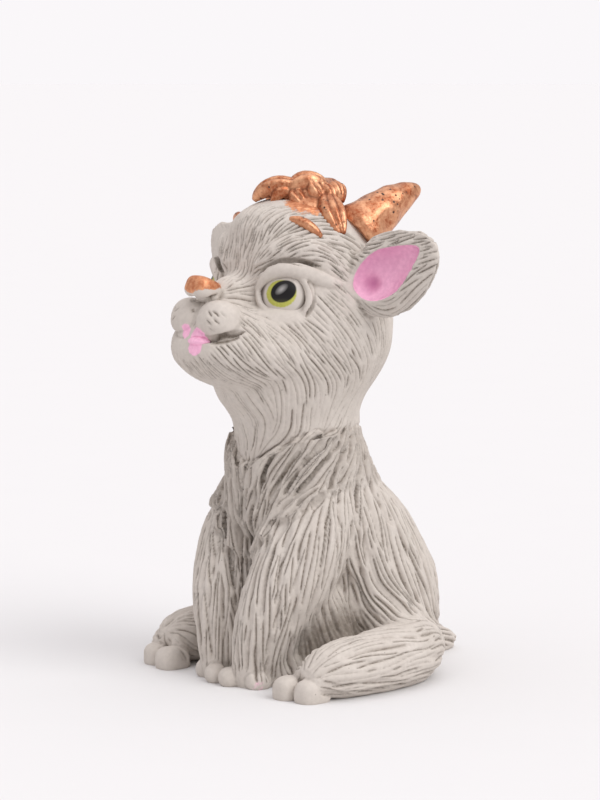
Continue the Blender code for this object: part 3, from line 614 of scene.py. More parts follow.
def add_muzzle(bm):
    """Nose and the two whisker lobes."""
    frame = face_frame()
    turn = frame.to_3x3().to_4x4()
    pillow(bm, frame @ at(0, -22.7, -5.7), NOSE_HALVES, turn, 0.62)
    for side in SIDES:
        centre = frame @ Vector((side * LOBE_SPREAD, -19.2 * MM, -10.5 * MM))
        pillow(bm, centre, LOBE_HALVES, turn, 0.85)


def add_lids(bm):
    for side in SIDES:
        for rows in (UPPER_LID, OUTER_LID, INNER_LID):
            eye_band(bm, rows, side)


def add_ears(bm):
    for side in SIDES:
        points, halves = [], []
        for share, low, high, thick in between(EAR, 2):
            drop = 0 if side > 0 else FAR_EAR_DROP * share
            out = lerp(EAR_ROOT_OUT, EAR_REACH, share)
            y = EAR_ROOT_Y + EAR_TURN * (out - EAR_ROOT_OUT)
            points.append(Vector((side * out, y, (low + high) / 2 * MM - drop)))
            halves.append(((high - low) / 2 * MM, thick * MM))
        limb(bm, points, halves, across=UP)


def add_horns(bm):
    for side in SIDES:
        root, tip = flipped(HORN_ROOT, side), flipped(HORN_TIP, side)
        points, halves = [], []
        for share, radius in between(HORN, 3):
            bend = UP * HORN_BEND * math.sin(math.pi * share)
            points.append(root.lerp(tip, share) + bend)
            halves.append((radius * MM, radius * MM))
        limb(bm, points, halves)


# Forelock: each lock's start, middle and end as x, y and the distance below the top of the
# figure, then its half width and half thickness.
FORELOCK_TOP = 94.4 * MM
LOCKS = (
    ((1.5, -11.8, 2.2), (-2.5, -15.2, 1.8), (-4.6, -16.6, 5.2), 2.3, 1.5),
    ((1.5, -12.7, 3.6), (-0.7, -15, 3), (-0.3, -15.6, 6), 1.5, 1.1),
    ((4.2, -6.9, 2.4), (1.5, -9.8, 0.2), (0.2, -13, 4.2), 3, 1.7),
    ((4.5, -9.7, 2.4), (5.4, -9.9, 3), (6.4, -9, 6.2), 1.9, 1.3),
    ((2.2, -12, 3.8), (3.6, -12.8, 4.2), (5.4, -12, 6.8), 1.9, 1.3),
    ((4.6, -5.5, 2.6), (6.6, -5.3, 2.6), (7.9, -5.8, 5.6), 1.6, 1.2),
    ((5, -7.4, 2.8), (6.8, -7.4, 3.4), (7.8, -7.4, 6), 1.5, 1.2),
    ((7, -8.4, 4.6), (10.2, -10.2, 6.4), (12.9, -10, 11), 2.4, 1.4),
    ((-2, -9, 3), (-5.5, -10.5, 3.2), (-7.6, -11, 7.4), 2, 1.2),
    ((-1, -6.5, 3.2), (-5.5, -6.8, 3.4), (-8.6, -7, 8.2), 2, 1.2),
    ((1.5, -4.5, 3.6), (0.5, -1.8, 4.2), (-1, 0.5, 7.6), 2, 1.2),
)
CROWN = Vector((1.8, -9, 87.4)) * MM
CROWN_RADII = Vector((7, 6, 3.2)) * MM


def add_forelock(bm):
    ball(bm, CROWN, CROWN_RADII)
    crown = at(0, -9, 78)
    for *places, wide, thick in LOCKS:
        start, middle, end = [Vector((x * MM, y * MM, FORELOCK_TOP - below * MM))
                              for x, y, below in places]
        outward = (middle - crown).normalized()
        leaf(bm, start, middle, end, wide * MM, thick * MM, outward, ribs=3)


def add_eyebrows(bm):
    for side in SIDES:
        start = at(side * 7.4, -17.7, 86)
        middle = at(side * 10.5, -16.1, 85.8)
        end = at(side * 12.2, -14.1, 82.8)
        leaf(bm, start, middle, end, 1 * MM, 1 * MM, at(side * 9, -6, 4).normalized())


def add_toes(bm):
    for side in SIDES:
        for out, y, wide, long, high, squareness in TOES:
            half = wide * MM
            place = Vector((side * out * MM, y * MM, TOE_HEIGHT))
            pillow(bm, place, (half, long * half, high * MM), Matrix(), squareness)


def guide(x, y, z, *way):
    """A guide's place, and the way of the coat there. Two numbers give it as seen from the front
    left: to the right and down. Three give it along the axes."""
    if len(way) == 2:
        right, down = way
        way = (Vector((0.629, 0.777, 0)) * right - UP * down).normalized()
    return at(x, y, z), Vector(way)


# Where the coat lies which way, on the goat's left half. The right half mirrors it.
GUIDES = [guide(*row) for row in (
    (1, -26, 77, 0, 0.5, 0.87),
    (3, -22, 83, 0.1, 0.3, 0.95),
    (8, -20, 80, 0.77, -0.64),
    (11, -16, 84, 0.8, -0.5),
    (13, -13, 81, 0.95, 0.15),
    (15, -12, 77, 0.75, 0.6),
    (16, -13, 72, 0.7, 0.7),
    (12, -22, 67, 0.75, 0.6),
    (17, -14, 62, 0.62, 0.78),
    (10, -27, 66, 0.45, 0.88),
    (8, -27, 74, 0.9, 0.2),
    (6, -33, 68, 0.9, 0.45),
    (8, -32, 60, 0.6, 0.8),
    (1, -33, 57, 0, 0.6, -0.8),
    (5, -26, 53, 0.35, 0.94),
    (11, -17, 50, 0.05, 1),
    (8, 4, 55, 0, 0, -1),
    (0, 7, 70, 0, 0, -1),
    (12, 4, 74, 0, 0.2, -1),
    (5, 0, 86, 0.1, 0.9, -0.4),
    (24, -7, 80, 0.9, 0, 0.4),
    (28, -7, 73, 0.8, 0, 0.6),
    (24, -3, 77, 0.95, 0, 0.3),
    (14, -8, 42, -0.7, 0.7),
    (6, -19, 42.5, -0.8, 0.6),
    (11, -14, 44, -0.8, 0.6),
    (13, -3, 44, -0.6, 0.8),
    (11, -17, 36, -0.65, 0.75),
    (1, -21, 40, -0.1, 1),
    (6, -33.5, 70.5, 0.9, 0.4),
    (9, -20, 38, -0.6, 0.8),
    (3, -24, 34, -0.35, 0.93),
    (1, -23, 29, -0.2, 0, -1),
    (11, 3, 40, -0.4, 0.9),
    (0, 6, 40, 0, 0.1, -1),
    (15, -14, 30, -0.1, 1),
    (13, -18, 22, -0.2, 1),
    (9, -24, 12, -0.15, 1),
    (2, -24, 14, 0.1, 1),
    (16, -3, 31, 0.12, 1),
    (17, -4, 23, 0.3, 0.93),
    (17, -3, 14, 0.8, 0.6),
    (16, 6, 22, 0.45, 0.9),
    (15, 12, 14, 0.6, 0.8),
    (13, -8, 14, 0.1, 1),
    (15, -6, 9, 0.6, 0.8),
    (0, 14, 30, 0, 0.45, -0.9),
    (6, 20, 16, 0.1, 0.1, -1),
    (24, -18, 7, 0, 1, 0.15),
    (27, -8, 5, -0.1, 1, 0.1),
    (22, 2, 8, -0.45, 0.9, 0.1),
    (15, 14, 7, -0.7, 0.6, -0.3),
    (4, 24, 5, -0.2, 0.9, -0.3),
)]

# Round places that stay bare, on the left half: the middle and the reach.
BARE = [(at(x, y, z), reach * MM) for x, y, z, reach in (
    (10, -21, 72.6, 5.6),
    (12, -20.5, 76, 3.2),
    (14.5, -16.5, 75.6, 2.6),
    (0, -32.3, 73.8, 4),
    (0, -35, 64.6, 3.6),
    (4, -34.6, 64.3, 2),
    (4.6, -33.6, 68.6, 5),
    (3, -10, 91, 6.5),
    (8, -8, 89, 4.5),
    (2, -15, 90.5, 3.4),
    (10, -4, 85, 5.8),
    (12, 5, 90, 5.8),
    (2.1, -28, 1.2, 2.4),
    (6.2, -26.5, 1.2, 2.4),
    (17.9, -27.6, 2, 3),
    (22.9, -27, 2, 3),
)]


def flow(point):
    """The way the coat lies at a point: the mean of the nearest guides, nearer ones first."""
    flip = -1 if point.x < 0 else 1
    here = Vector((abs(point.x), point.y, point.z))
    total = Vector()
    for place, way in GUIDES:
        total += way / ((here - place).length_squared + 4e-7) ** 1.5
    total.x *= flip
    return total


def dish_axes(side):
    """The axes of an ear's hollow: out of it, across it and up it."""
    aim = flipped(EAR_HOLLOW_AIM, side).normalized()
    across = flipped(EAR_HOLLOW_LEAN, side).cross(aim).normalized()
    return aim, across, aim.cross(across).normalized()


def bare(point):
    """True where no coat is cut: face features, hooves, hair, horns and ear hollows."""
    here = Vector((abs(point.x), point.y, point.z))
    for place, reach in BARE:
        if (here - place).length_squared < reach * reach:
            return True
    if here.z > EAR_HEIGHT and here.x > EAR_ROOT_OUT:
        aim, across, top = dish_axes(1)
        away = here - EAR_HOLLOW
        x = away.dot(across) / EAR_HOLLOW_HALF_WIDTH
        y = away.dot(top) / EAR_HOLLOW_HALF_HEIGHT / (1 - EAR_HOLLOW_TAPER * x)
        if abs(x) ** EAR_HOLLOW_POWER + y * y < 1.05 and away.dot(aim) > -EAR_HOLLOW_DEPTH:
            return True
    return here.z < SOLE_HEIGHT


def round_body(point):
    """How far round the body from the front a point lies, as an angle seen from above."""
    return math.atan2(abs(point.x), -(point.y - at(0, -8, 0).y))


def mane_edges(point):
    """Heights of the collar and the hem of the mane on a point's side of the body."""
    out = round_body(point)
    collar = COLLAR_HEIGHT - COLLAR_DIP * max(0, 1 - out / COLLAR_SPREAD) ** 1.3
    hem = HEM_HEIGHT - HEM_DIP * max(0, 1 - out / HEM_SPREAD) ** 1.9
    ragged = noise.noise(Vector((out * 9, 0, point.z / (12 * MM))))
    return collar + 0.6 * MM * ragged, hem + 1.4 * MM * ragged


def mane_thickness(point):
    """The mane is thick over the chest and thins out towards the back."""
    back = ease((round_body(point) - math.radians(52)) / math.radians(50))
    return MANE_THICKNESS * lerp(1, MANE_BACK_SHARE, back)


def mane_cover(point):
    """How far the mane covers a point: 0 off it, 1 on it, with a short slope at its edges."""
    collar, hem = mane_edges(point)
    return min(ease((collar - point.z) / MANE_EDGE), ease((point.z - hem) / MANE_EDGE))


def coat_zone(point):
    """Gap, depth, shortest and longest groove of the coat at a point."""
    coat = bpy.context.scene.goat_coat
    if mane_cover(point) > 0.5:
        return coat.mane_gap, coat.mane_depth, 10 * MM, 26 * MM
    if point.z > EAR_HEIGHT and point.x < FAR_EAR_OUT:
        return coat.head_gap, coat.head_depth * 0.5, 2.6 * MM, 8 * MM
    if point.z > FOREHEAD_HEIGHT:
        return coat.head_gap, coat.head_depth * 1.55, 2.6 * MM, 8 * MM
    if point.z > CHIN_HEIGHT:
        return coat.head_gap, coat.head_depth, 5 * MM, 16 * MM
    if point.z > NECK_HEIGHT:
        shallower = lerp(1.3, 0.55, ease((point.z - 44 * MM) / (6 * MM)))
        return coat.head_gap * 1.15, coat.head_depth * shallower, 9 * MM, 24 * MM
    if point.z < HAUNCH_HEIGHT and abs(point.x) > HAUNCH_OUT:
        return coat.body_gap, coat.body_depth * 0.65, 8 * MM, 22 * MM
    return coat.body_gap, coat.body_depth, 10 * MM, 28 * MM


class Coat:
    """Grooves that follow the flow of the coat and keep their distance from each other."""

    CELL = 2 * MM
    NEXT_DOOR = [(x, y, z) for x in (-1, 0, 1) for y in (-1, 0, 1) for z in (-1, 0, 1)]

    def __init__(self, skin, seed):
        self.tree = BVHTree.FromPolygons([v.co for v in skin.vertices],
                                         [p.vertices for p in skin.polygons])
        self.skin = skin
        self.dice = random.Random(seed)
        self.cells = {}
        self.lines = []

    def cell(self, point):
        return tuple(math.floor(c / self.CELL) for c in point)

    def crowded(self, point, normal, own, room):
        cx, cy, cz = self.cell(point)
        for dx, dy, dz in self.NEXT_DOOR:
            for other, facing, owner in self.cells.get((cx + dx, cy + dy, cz + dz), ()):
                if owner != own and (other - point).length_squared < room * room:
                    if facing.dot(normal) > 0.2:
                        return True
        return False

    def add(self, line, width, depth):
        """A groove: its points with their normals, its half width and its depth."""
        for point, normal in line:
            self.cells.setdefault(self.cell(point), []).append((point, normal, len(self.lines)))
        self.lines.append((line, width, depth))

    def add_crease(self, width, depth, points):
        line = []
        for row in between(points, 6):
            place, facing, _, _ = self.tree.find_nearest(at(*row))
            line.append((place, facing))
        self.add(line, width * MM, depth * MM)

    def trace(self, point, normal, sense, reach, lean, room):
        """Points of a groove from a spot, one way, until it has its length or meets another."""
        own = len(self.lines)
        line = []
        gone = 0
        before = None
        while gone < reach:
            way = flow(point)
            way -= normal * way.dot(normal)
            if way.length < 1e-6:
                break
            way = (way.normalized() + normal.cross(way.normalized()) * lean).normalized() * sense
            if before and way.dot(before) < 0.5:
                break
            place, facing, _, _ = self.tree.find_nearest(point + way * COAT_STEP)
            facing = facing.lerp(normal, 0.5).normalized()
            if facing.dot(normal) < 0.7 or bare(place):
                break
            if self.crowded(place, facing, own, room):
                break
            line.append((place, facing))
            point, normal, before = place, facing, way
            gone += COAT_STEP
        return line

    def grow(self, wanted, broad=1):
        """Fills the part of the skin that is wanted with grooves."""
        dice = self.dice
        picks = list(range(0, len(self.skin.vertices), 3))
        dice.shuffle(picks)
        for pick in picks:
            spot = self.skin.vertices[pick].co
            if not wanted(spot) or bare(spot):
                continue
            facing = self.skin.vertices[pick].normal.copy()
            gap, depth, shortest, longest = coat_zone(spot)
            gap *= broad
            if self.crowded(spot, facing, -1, gap * 0.85):
                continue
            reach = dice.uniform(shortest, longest) / 2
            room = gap * dice.uniform(0.34, 0.56)
            lean = dice.uniform(-0.13, 0.13)
            line = self.trace(spot, facing, -1, reach, lean, room)[::-1]
            line.append((spot.copy(), facing))
            line += self.trace(spot, facing, 1, reach, lean, room)
            if len(line) * COAT_STEP > GROOVE_SHORTEST:
                strength = dice.uniform(0.55, 1.25)
                share = dice.uniform(0.4, 0.5) if gap < 1 * MM else dice.uniform(0.32, 0.44)
                self.add(line, gap * share, depth * strength)


def carve(skin, lines):
    """Tapered grooves cut along the lines. Returns how deep each point lies, from 0 to 1."""
    samples = []
    for line, width, depth in lines:
        last = len(line) - 1
        for i, (point, _) in enumerate(line):
            way = (line[min(i + 1, last)][0] - line[max(i - 1, 0)][0]).normalized()
            fade = min(1, 0.2 + min(i, last - i) * COAT_STEP / GROOVE_TAPER)
            samples.append((point, way, width * (0.55 + 0.45 * fade), depth * fade))
    tree = KDTree(len(samples))
    for i, sample in enumerate(samples):
        tree.insert(sample[0], i)
    tree.balance()
    moves = np.zeros(len(skin.vertices))
    cuts = np.zeros(len(skin.vertices))
    for k, vert in enumerate(skin.vertices):
        place = vert.co
        for _, i, gap in tree.find_n(place, 5):
            if gap > CARVE_REACH:
                break
            point, way, width, depth = samples[i]
            away = place - point
            along = away.dot(way)
            if abs(along) < COAT_STEP:
                side = math.sqrt(max(0, away.length_squared - along * along)) / width
                if side < 1:
                    share = (1 - side) ** 1.15
                    if depth * share > moves[k]:
                        moves[k] = depth * share
                        cuts[k] = share * min(1, depth / WASH_AND_SHADE_DEPTH)
    shift(skin, -moves)
    return cuts


def read_points(skin, key="co"):
    """Where the points of a skin lie, or their normals, one row for each."""
    values = np.empty(len(skin.vertices) * 3)
    skin.vertices.foreach_get(key, values)
    return values.reshape(-1, 3)


def place_points(skin, places):
    skin.vertices.foreach_set("co", places.ravel())
    skin.update()


def shift(skin, distance):
    """Moves each point along its normal by its own distance."""
    away = read_points(skin, "normal") * np.asarray(distance)[:, None]
    place_points(skin, read_points(skin) + away)


def neighbour_means(skin):
    """A function that gives the mean of each point's neighbours."""
    ends = np.empty(len(skin.edges) * 2, dtype=np.int64)
    skin.edges.foreach_get("vertices", ends)
    first, second = ends.reshape(-1, 2).T
    size = len(skin.vertices)
    count = np.bincount(ends, minlength=size).astype(float)

    def mean(values):
        made = np.empty_like(values)
        for axis in range(3):
            total = np.bincount(first, values[second, axis], size)
            total += np.bincount(second, values[first, axis], size)
            made[:, axis] = total / count
        return made

    return mean


def soften(skin, chosen, rounds):
    """Evens out the chosen part of a skin."""
    mean = neighbour_means(skin)
    places = read_points(skin)
    for _ in range(rounds):
        places[chosen] = mean(places)[chosen]
    place_points(skin, places)


def hollows(skin, rounds):
    """How far each point lies in a crease, from 0 to 1: where the dark wash stays and where shade
    falls, both painted in by the colour.
    """
    mean = neighbour_means(skin)
    places = read_points(skin)
    smooth = places.copy()
    for _ in range(rounds):
        smooth = 0.5 * smooth + 0.5 * mean(smooth)
    lift = np.einsum("ij,ij->i", smooth - places, read_points(skin, "normal"))
    return np.clip(lift / (0.22 * MM), 0, 1)


def lumpy(skin, amount, size):
    """Uneven hand modelling: each point moved a little along its normal."""
    shift(skin, [amount * noise.noise(v.co / size) for v in skin.vertices])


def add_attribute(skin, name, values):
    layer = skin.attributes.new(name, "FLOAT", "POINT")
    layer.data.foreach_set("value", np.asarray(values, dtype=np.float32))


def near(places, spot, reach):
    """1 at a spot, falling to 0 at its reach, for every point."""
    gap = np.linalg.norm(places - np.array(spot), axis=1)
    return np.clip(1 - gap / reach, 0, 1)


def in_dish(places, normals, side):
    """Share of the depth of an ear's hollow at every point: steep at its edge, flat within."""
    aim, across, top = dish_axes(side)
    away = places - np.array(flipped(EAR_HOLLOW, side))
    x = away @ np.array(across) / EAR_HOLLOW_HALF_WIDTH
    y = away @ np.array(top) / EAR_HOLLOW_HALF_HEIGHT
    if side < 0:
        x = x / FAR_EAR_HOLLOW_SHARE
    y = y / np.clip(1 - EAR_HOLLOW_TAPER * x * side, 0.3, 2)
    share = np.clip(1 - np.abs(x) ** EAR_HOLLOW_POWER - y * y, 0, 1) ** 0.6
    near_by = np.abs(away @ np.array(aim)) < 6 * MM
    return share * near_by * np.clip(normals @ np.array(aim) / 0.45, 0, 1)


def press_ear(skin, side):
    """The hollow of an ear, with the pit at its root. Returns where the paint goes, and the painted
    shade in the pit and under the upper rim of the hollow.
    """
    normals = read_points(skin, "normal")
    share = in_dish(read_points(skin), normals, side)
    aim, _, top = [np.array(axis) for axis in dish_axes(side)]
    moved = read_points(skin) - np.outer(share * EAR_HOLLOW_DEPTH, aim)
    pit = near(moved, flipped(EAR_PIT, side), EAR_PIT_REACH) * (share > 0)
    moved -= np.outer(pit * EAR_PIT_DEPTH, aim)
    skin.vertices.foreach_set("co", moved.ravel())
    soften(skin, share > 0.3, 12)
    # Painted shadow: the upper part of the hollow, under its rim, is darkened, as is the pit.
    height = (moved - np.array(flipped(EAR_HOLLOW, side))) @ top / EAR_HOLLOW_HALF_HEIGHT
    shade = np.clip(height * 0.4 + 0.08, 0, 0.35) * (share > 0)
    return np.clip(share * 4, 0, 1), np.maximum(pit, shade)


def place_piece(skin, name, material):
    """A finished mesh as a piece that rides with the goat."""
    piece = bpy.data.objects.new(name, skin)
    bpy.context.scene.collection.objects.link(piece)
    skin.shade_smooth()
    skin.materials.clear()
    skin.materials.append(material)
    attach(piece, "root")
    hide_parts(NODE)


MATH = "ShaderNodeMath"
RANGE = "ShaderNodeMapRange"
MIX = "ShaderNodeMix"
NOISE = "ShaderNodeTexNoise"
CELLS = "ShaderNodeTexVoronoi"
BUMP = "ShaderNodeBump"
COLOUR = {"data_type": "RGBA"}
TIMES = {"operation": "MULTIPLY"}
TIMES_PLUS = {"operation": "MULTIPLY_ADD"}


def add_node(tree, kind, settings, inputs, output=0):
    """Adds a shader node with its settings. An input is a fixed value or another node's socket."""
    node = tree.nodes.new(kind)
    for key, value in settings.items():
        setattr(node, key, value)
    for key, value in inputs.items():
        if isinstance(value, bpy.types.NodeSocket):
            tree.links.new(value, node.inputs[key])
        else:
            node.inputs[key].default_value = value
    return node.outputs[output]


def tinted(colour, red, green=None, blue=None):
    """A colour with its red, green and blue scaled, or all alike, as a colour socket's value."""
    shares = (red, green or red, blue or red)
    return (*[min(1, c * share) for c, share in zip(colour, shares)], 1)


def new_material(name):
    """A material with its node tree, its shader and the Object coordinates."""
    material = bpy.data.materials.new(name)
    material.use_nodes = True
    tree = material.node_tree
    place = add_node(tree, "ShaderNodeTexCoord", {}, {}, "Object")
    return material, tree, tree.nodes["Principled BSDF"], place


def cast_stone(name):
    """Fine cast stone, rubbed back over a dark wash. The wash stays at the bottom of the grooves
    and in the folds, and the same dark colour paints in the shade that falls there and over the
    belly and the mane, so the coat reads as carved; the high places are pale and dull, and sand
    grit of about a quarter millimetre breaks up the light. Paint on the nose, mouth and ears is
    thin, with the stone's grit showing through it, and the pink is darkened in the ear pits, under
    the ears' upper rims and in the grooves as painted shade."""
    paint = bpy.context.scene.goat_paint
    material, tree, shader, place = new_material(name)
    groove, fold, pink, deep, copper = [
        add_node(tree, "ShaderNodeAttribute", {"attribute_name": layer}, {}, "Fac")
        for layer in ("groove", "fold", "pink", "deep", "copper")]
    blotch = add_node(tree, NOISE, {}, {"Vector": place, "Scale": 1 / (7 * MM), "Detail": 3})
    blotch = add_node(tree, RANGE, {}, {0: blotch, 1: 0.3, 2: 0.7})
    fleck = add_node(tree, NOISE, {}, {"Vector": place, "Scale": 1 / (0.8 * MM), "Detail": 5})
    fleck = add_node(tree, RANGE, {}, {0: fleck, 1: 0.35, 2: 0.7})
    body = add_node(tree, MIX, COLOUR, {0: blotch, 6: tinted(paint.stone, 1.03),
                                        7: tinted(paint.stone, 0.93, 0.92, 0.91)}, 2)
    pale = add_node(tree, MATH, TIMES, {0: fleck, 1: 0.3})
    body = add_node(tree, MIX, COLOUR, {0: pale, 6: body, 7: tinted(paint.stone, 1.25)}, 2)
    # Wash and painted shade: darker at the bottom of the grooves and in the folds, where the wash
    # stays and where shade falls.
    ragged = add_node(tree, MATH, TIMES_PLUS, {0: fleck, 1: -0.3, 2: 1.1})
    wash_and_shade_share = add_node(tree, MATH, TIMES, {0: groove, 1: ragged})
    wash_and_shade_share = add_node(tree, RANGE, {}, {0: wash_and_shade_share, 1: 0.3, 2: 1, 3: 0, 4: 0.85})
    fold = add_node(tree, MATH, TIMES, {0: fold, 1: ragged})
    fold = add_node(tree, RANGE, {}, {0: fold, 1: 0.1, 2: 1, 3: 0, 4: 0.72})
    wash_and_shade_share = add_node(tree, MATH, {"operation": "MAXIMUM"}, {0: wash_and_shade_share, 1: fold})
    body = add_node(tree, MIX, COLOUR, {0: wash_and_shade_share, 6: body, 7: tinted(paint.wash_and_shade, 1)}, 2)
    pits = add_node(tree, CELLS, {}, {"Vector": place, "Scale": 1 / (2.6 * MM)})
    pits = add_node(tree, RANGE, {}, {0: pits, 1: 0.07, 2: 0.03, 3: 0, 4: 0.55})
    body = add_node(tree, MIX, COLOUR, {0: pits, 6: body, 7: tinted(paint.wash_and_shade, 1)}, 2)
    brushed = add_node(tree, MATH, TIMES_PLUS, {0: fleck, 1: 0.14, 2: pink})
    brushed = add_node(tree, RANGE, {}, {0: brushed, 1: 0.4, 2: 0.56})
    # Painted shade on the pink: darker in the ear pits, under the upper rims and in the grooves.
    shade = add_node(tree, MATH, {"operation": "MAXIMUM"}, {0: deep, 1: wash_and_shade_share})
    rosy = add_node(tree, MIX, COLOUR, {0: fleck, 6: tinted(paint.pink, 0.98, 0.94, 0.97),
                                        7: tinted(paint.pink, 1.12, 1.16, 1.13)}, 2)
    rosy = add_node(tree, MIX, COLOUR, {0: shade, 6: rosy, 7: tinted(paint.pink, 0.6, 0.3, 0.5)}, 2)
    body = add_node(tree, MIX, COLOUR, {0: brushed, 6: body, 7: rosy}, 2)
    metal = add_node(tree, MATH, TIMES_PLUS, {0: fleck, 1: 0.3, 2: copper})
    metal = add_node(tree, RANGE, {}, {0: metal, 1: 0.5, 2: 0.68})
    flake = add_node(tree, MIX, COLOUR, {0: fleck, 6: tinted(paint.copper, 0.85, 0.72, 0.66),
                                         7: tinted(paint.copper, 1.25, 1.5, 1.6)}, 2)
    body = add_node(tree, MIX, COLOUR, {0: metal, 6: body, 7: flake}, 2)
    tree.links.new(body, shader.inputs["Base Color"])
    sheen = add_node(tree, MATH, TIMES, {0: metal, 1: 0.7})
    tree.links.new(sheen, shader.inputs["Metallic"])
    smooth = add_node(tree, MATH, {"operation": "MAXIMUM"}, {0: metal, 1: brushed})
    rough = add_node(tree, MATH, TIMES_PLUS, {0: smooth, 1: -0.35, 2: 0.85})
    tree.links.new(rough, shader.inputs["Roughness"])
    shader.inputs["Specular IOR Level"].default_value = 0.35
    grit = add_node(tree, NOISE, {}, {"Vector": place, "Scale": 1 / (0.28 * MM), "Detail": 4})
    bump = add_node(tree, BUMP, {}, {"Height": grit, "Strength": 0.4, "Distance": 0.06 * MM})
    tree.links.new(bump, shader.inputs["Normal"])
    return material


def copper_paint():
    """Copper acrylic over the stone: metal flake in a clear film, with uneven tone and pale patches
    and specks scattered at random as painted highlights, painted shade that darkens the hollows,
    and the casting's pinholes as near-black dots a little under half a millimetre wide, painted
    shade in the holes, so the light breaks into specks."""
    paint = bpy.context.scene.goat_paint
    material, tree, shader, place = new_material("copper_acrylic_paint")
    groove = add_node(tree, "ShaderNodeAttribute", {"attribute_name": "groove"}, {}, "Fac")
    # Uneven tone, with pale patches and pale specks scattered at random: painted highlights of the
    # flake.
    streak = add_node(tree, NOISE, {}, {"Vector": place, "Scale": 1 / (2.4 * MM), "Detail": 6,
                                        "Roughness": 0.65})
    streak = add_node(tree, RANGE, {}, {0: streak, 1: 0.4, 2: 0.62})
    speck = add_node(tree, NOISE, {}, {"Vector": place, "Scale": 1 / (0.5 * MM), "Detail": 3})
    speck = add_node(tree, RANGE, {}, {0: speck, 1: 0.4, 2: 0.65})
    body = add_node(tree, MIX, COLOUR, {0: streak, 6: tinted(paint.copper, 0.58, 0.38, 0.28),
                                        7: tinted(paint.copper, 1.2, 1.42, 1.55)}, 2)
    glint_specks = add_node(tree, MATH, TIMES, {0: speck, 1: 0.35})
    body = add_node(tree, MIX, COLOUR, {0: glint_specks, 6: body, 7: tinted(paint.copper, 1.3, 1.7, 1.9)}, 2)
    # Painted shade: the hollows darker.
    hollow_shade = add_node(tree, MATH, TIMES, {0: groove, 1: 0.85})
    body = add_node(tree, MIX, COLOUR, {0: hollow_shade, 6: body,
                                        7: tinted(paint.copper, 0.32, 0.22, 0.18)}, 2)
    # Pinholes as near-black dots: painted shade inside the holes.
    dots = add_node(tree, CELLS, {}, {"Vector": place, "Scale": 1 / (1.15 * MM)})
    dots = add_node(tree, RANGE, {}, {0: dots, 1: 0.24, 2: 0.16})
    area = add_node(tree, NOISE, {}, {"Vector": place, "Scale": 1 / (5 * MM)})
    area = add_node(tree, RANGE, {}, {0: area, 1: 0.46, 2: 0.55})
    dots = add_node(tree, MATH, TIMES, {0: dots, 1: area})
    body = add_node(tree, MIX, COLOUR, {0: dots, 6: body,
                                        7: tinted(paint.copper, 0.1, 0.08, 0.08)}, 2)
    tree.links.new(body, shader.inputs["Base Color"])
    metal = add_node(tree, MATH, TIMES_PLUS, {0: dots, 1: -0.7, 2: 0.72})
    tree.links.new(metal, shader.inputs["Metallic"])
    rough = add_node(tree, MATH, TIMES_PLUS, {0: speck, 1: 0.16, 2: 0.28})
    tree.links.new(rough, shader.inputs["Roughness"])
    ripple = add_node(tree, NOISE, {}, {"Vector": place, "Scale": 1 / (0.7 * MM), "Detail": 5})
    height = add_node(tree, MATH, TIMES_PLUS, {0: dots, 1: -1.5, 2: ripple})
    bump = add_node(tree, BUMP, {}, {"Height": height, "Strength": 0.7, "Distance": 0.15 * MM})
    tree.links.new(bump, shader.inputs["Normal"])
    return material


def eye_paint():
    """Smooth stone eyeballs with a painted eye: a near-black pupil in a thin ring of dull
    yellow-green, with a soft white painted highlight on the pupil and painted shade round the
    edge of the ball next to the lids, under a thin gloss varnish that keeps it wet to look at."""
    paint = bpy.context.scene.goat_paint
    material, tree, shader, place = new_material("gloss_eye_paint")
    iris, pupil, painted_glint, low, rim = [
        add_node(tree, "ShaderNodeAttribute", {"attribute_name": layer}, {}, "Fac")
        for layer in EYE_LAYERS]
    fleck = add_node(tree, NOISE, {}, {"Vector": place, "Scale": 1 / (0.5 * MM), "Detail": 4})
    iris = add_node(tree, MATH, TIMES_PLUS, {0: fleck, 1: 0.12, 2: iris})
    ring = add_node(tree, RANGE, {}, {0: iris, 1: 1.08, 2: 1})
    pupil = add_node(tree, RANGE, {}, {0: pupil, 1: 1.02, 2: 0.92})
    # Painted highlight: a soft pale glint on the pupil.
    painted_glint = add_node(tree, RANGE, {}, {0: painted_glint, 1: 1, 2: 0.1, 3: 0, 4: 0.5})
    shader.inputs["Specular IOR Level"].default_value = 0.3
    # Painted shade: the edge of the ball darkens where it meets the lids.
    rim = add_node(tree, RANGE, {}, {0: rim, 1: 0.84, 2: 0.97, 3: 0, 4: 0.85})
    body = add_node(tree, MIX, COLOUR, {0: rim, 6: tinted(paint.stone, 1),
                                        7: tinted(paint.wash_and_shade, 0.6)}, 2)
    green = add_node(tree, MIX, COLOUR, {0: fleck, 6: tinted(paint.iris, 0.8),
                                         7: tinted(paint.iris, 1.2)}, 2)
    body = add_node(tree, MIX, COLOUR, {0: ring, 6: body, 7: green}, 2)
    low = add_node(tree, RANGE, {}, {0: low, 1: 0.55, 2: 1, 3: 0, 4: 0.3})
    dark = add_node(tree, MIX, COLOUR, {0: low, 6: tinted(paint.pupil, 1),
                                        7: tinted(paint.iris, 0.4, 0.4, 0.6)}, 2)
    body = add_node(tree, MIX, COLOUR, {0: pupil, 6: body, 7: dark}, 2)
    body = add_node(tree, MIX, COLOUR, {0: painted_glint, 6: body, 7: tinted(paint.painted_glint, 1)}, 2)
    tree.links.new(body, shader.inputs["Base Color"])
    rough = add_node(tree, MATH, TIMES_PLUS, {0: ring, 1: -0.25, 2: 0.6})
    tree.links.new(rough, shader.inputs["Roughness"])
    bump = add_node(tree, BUMP, {}, {"Height": fleck, "Strength": 0.15, "Distance": 0.03 * MM})
    tree.links.new(bump, shader.inputs["Normal"])
    return material


def soft_skin():
    return fused(soft_masses(), SOFT_VOXEL, 10)


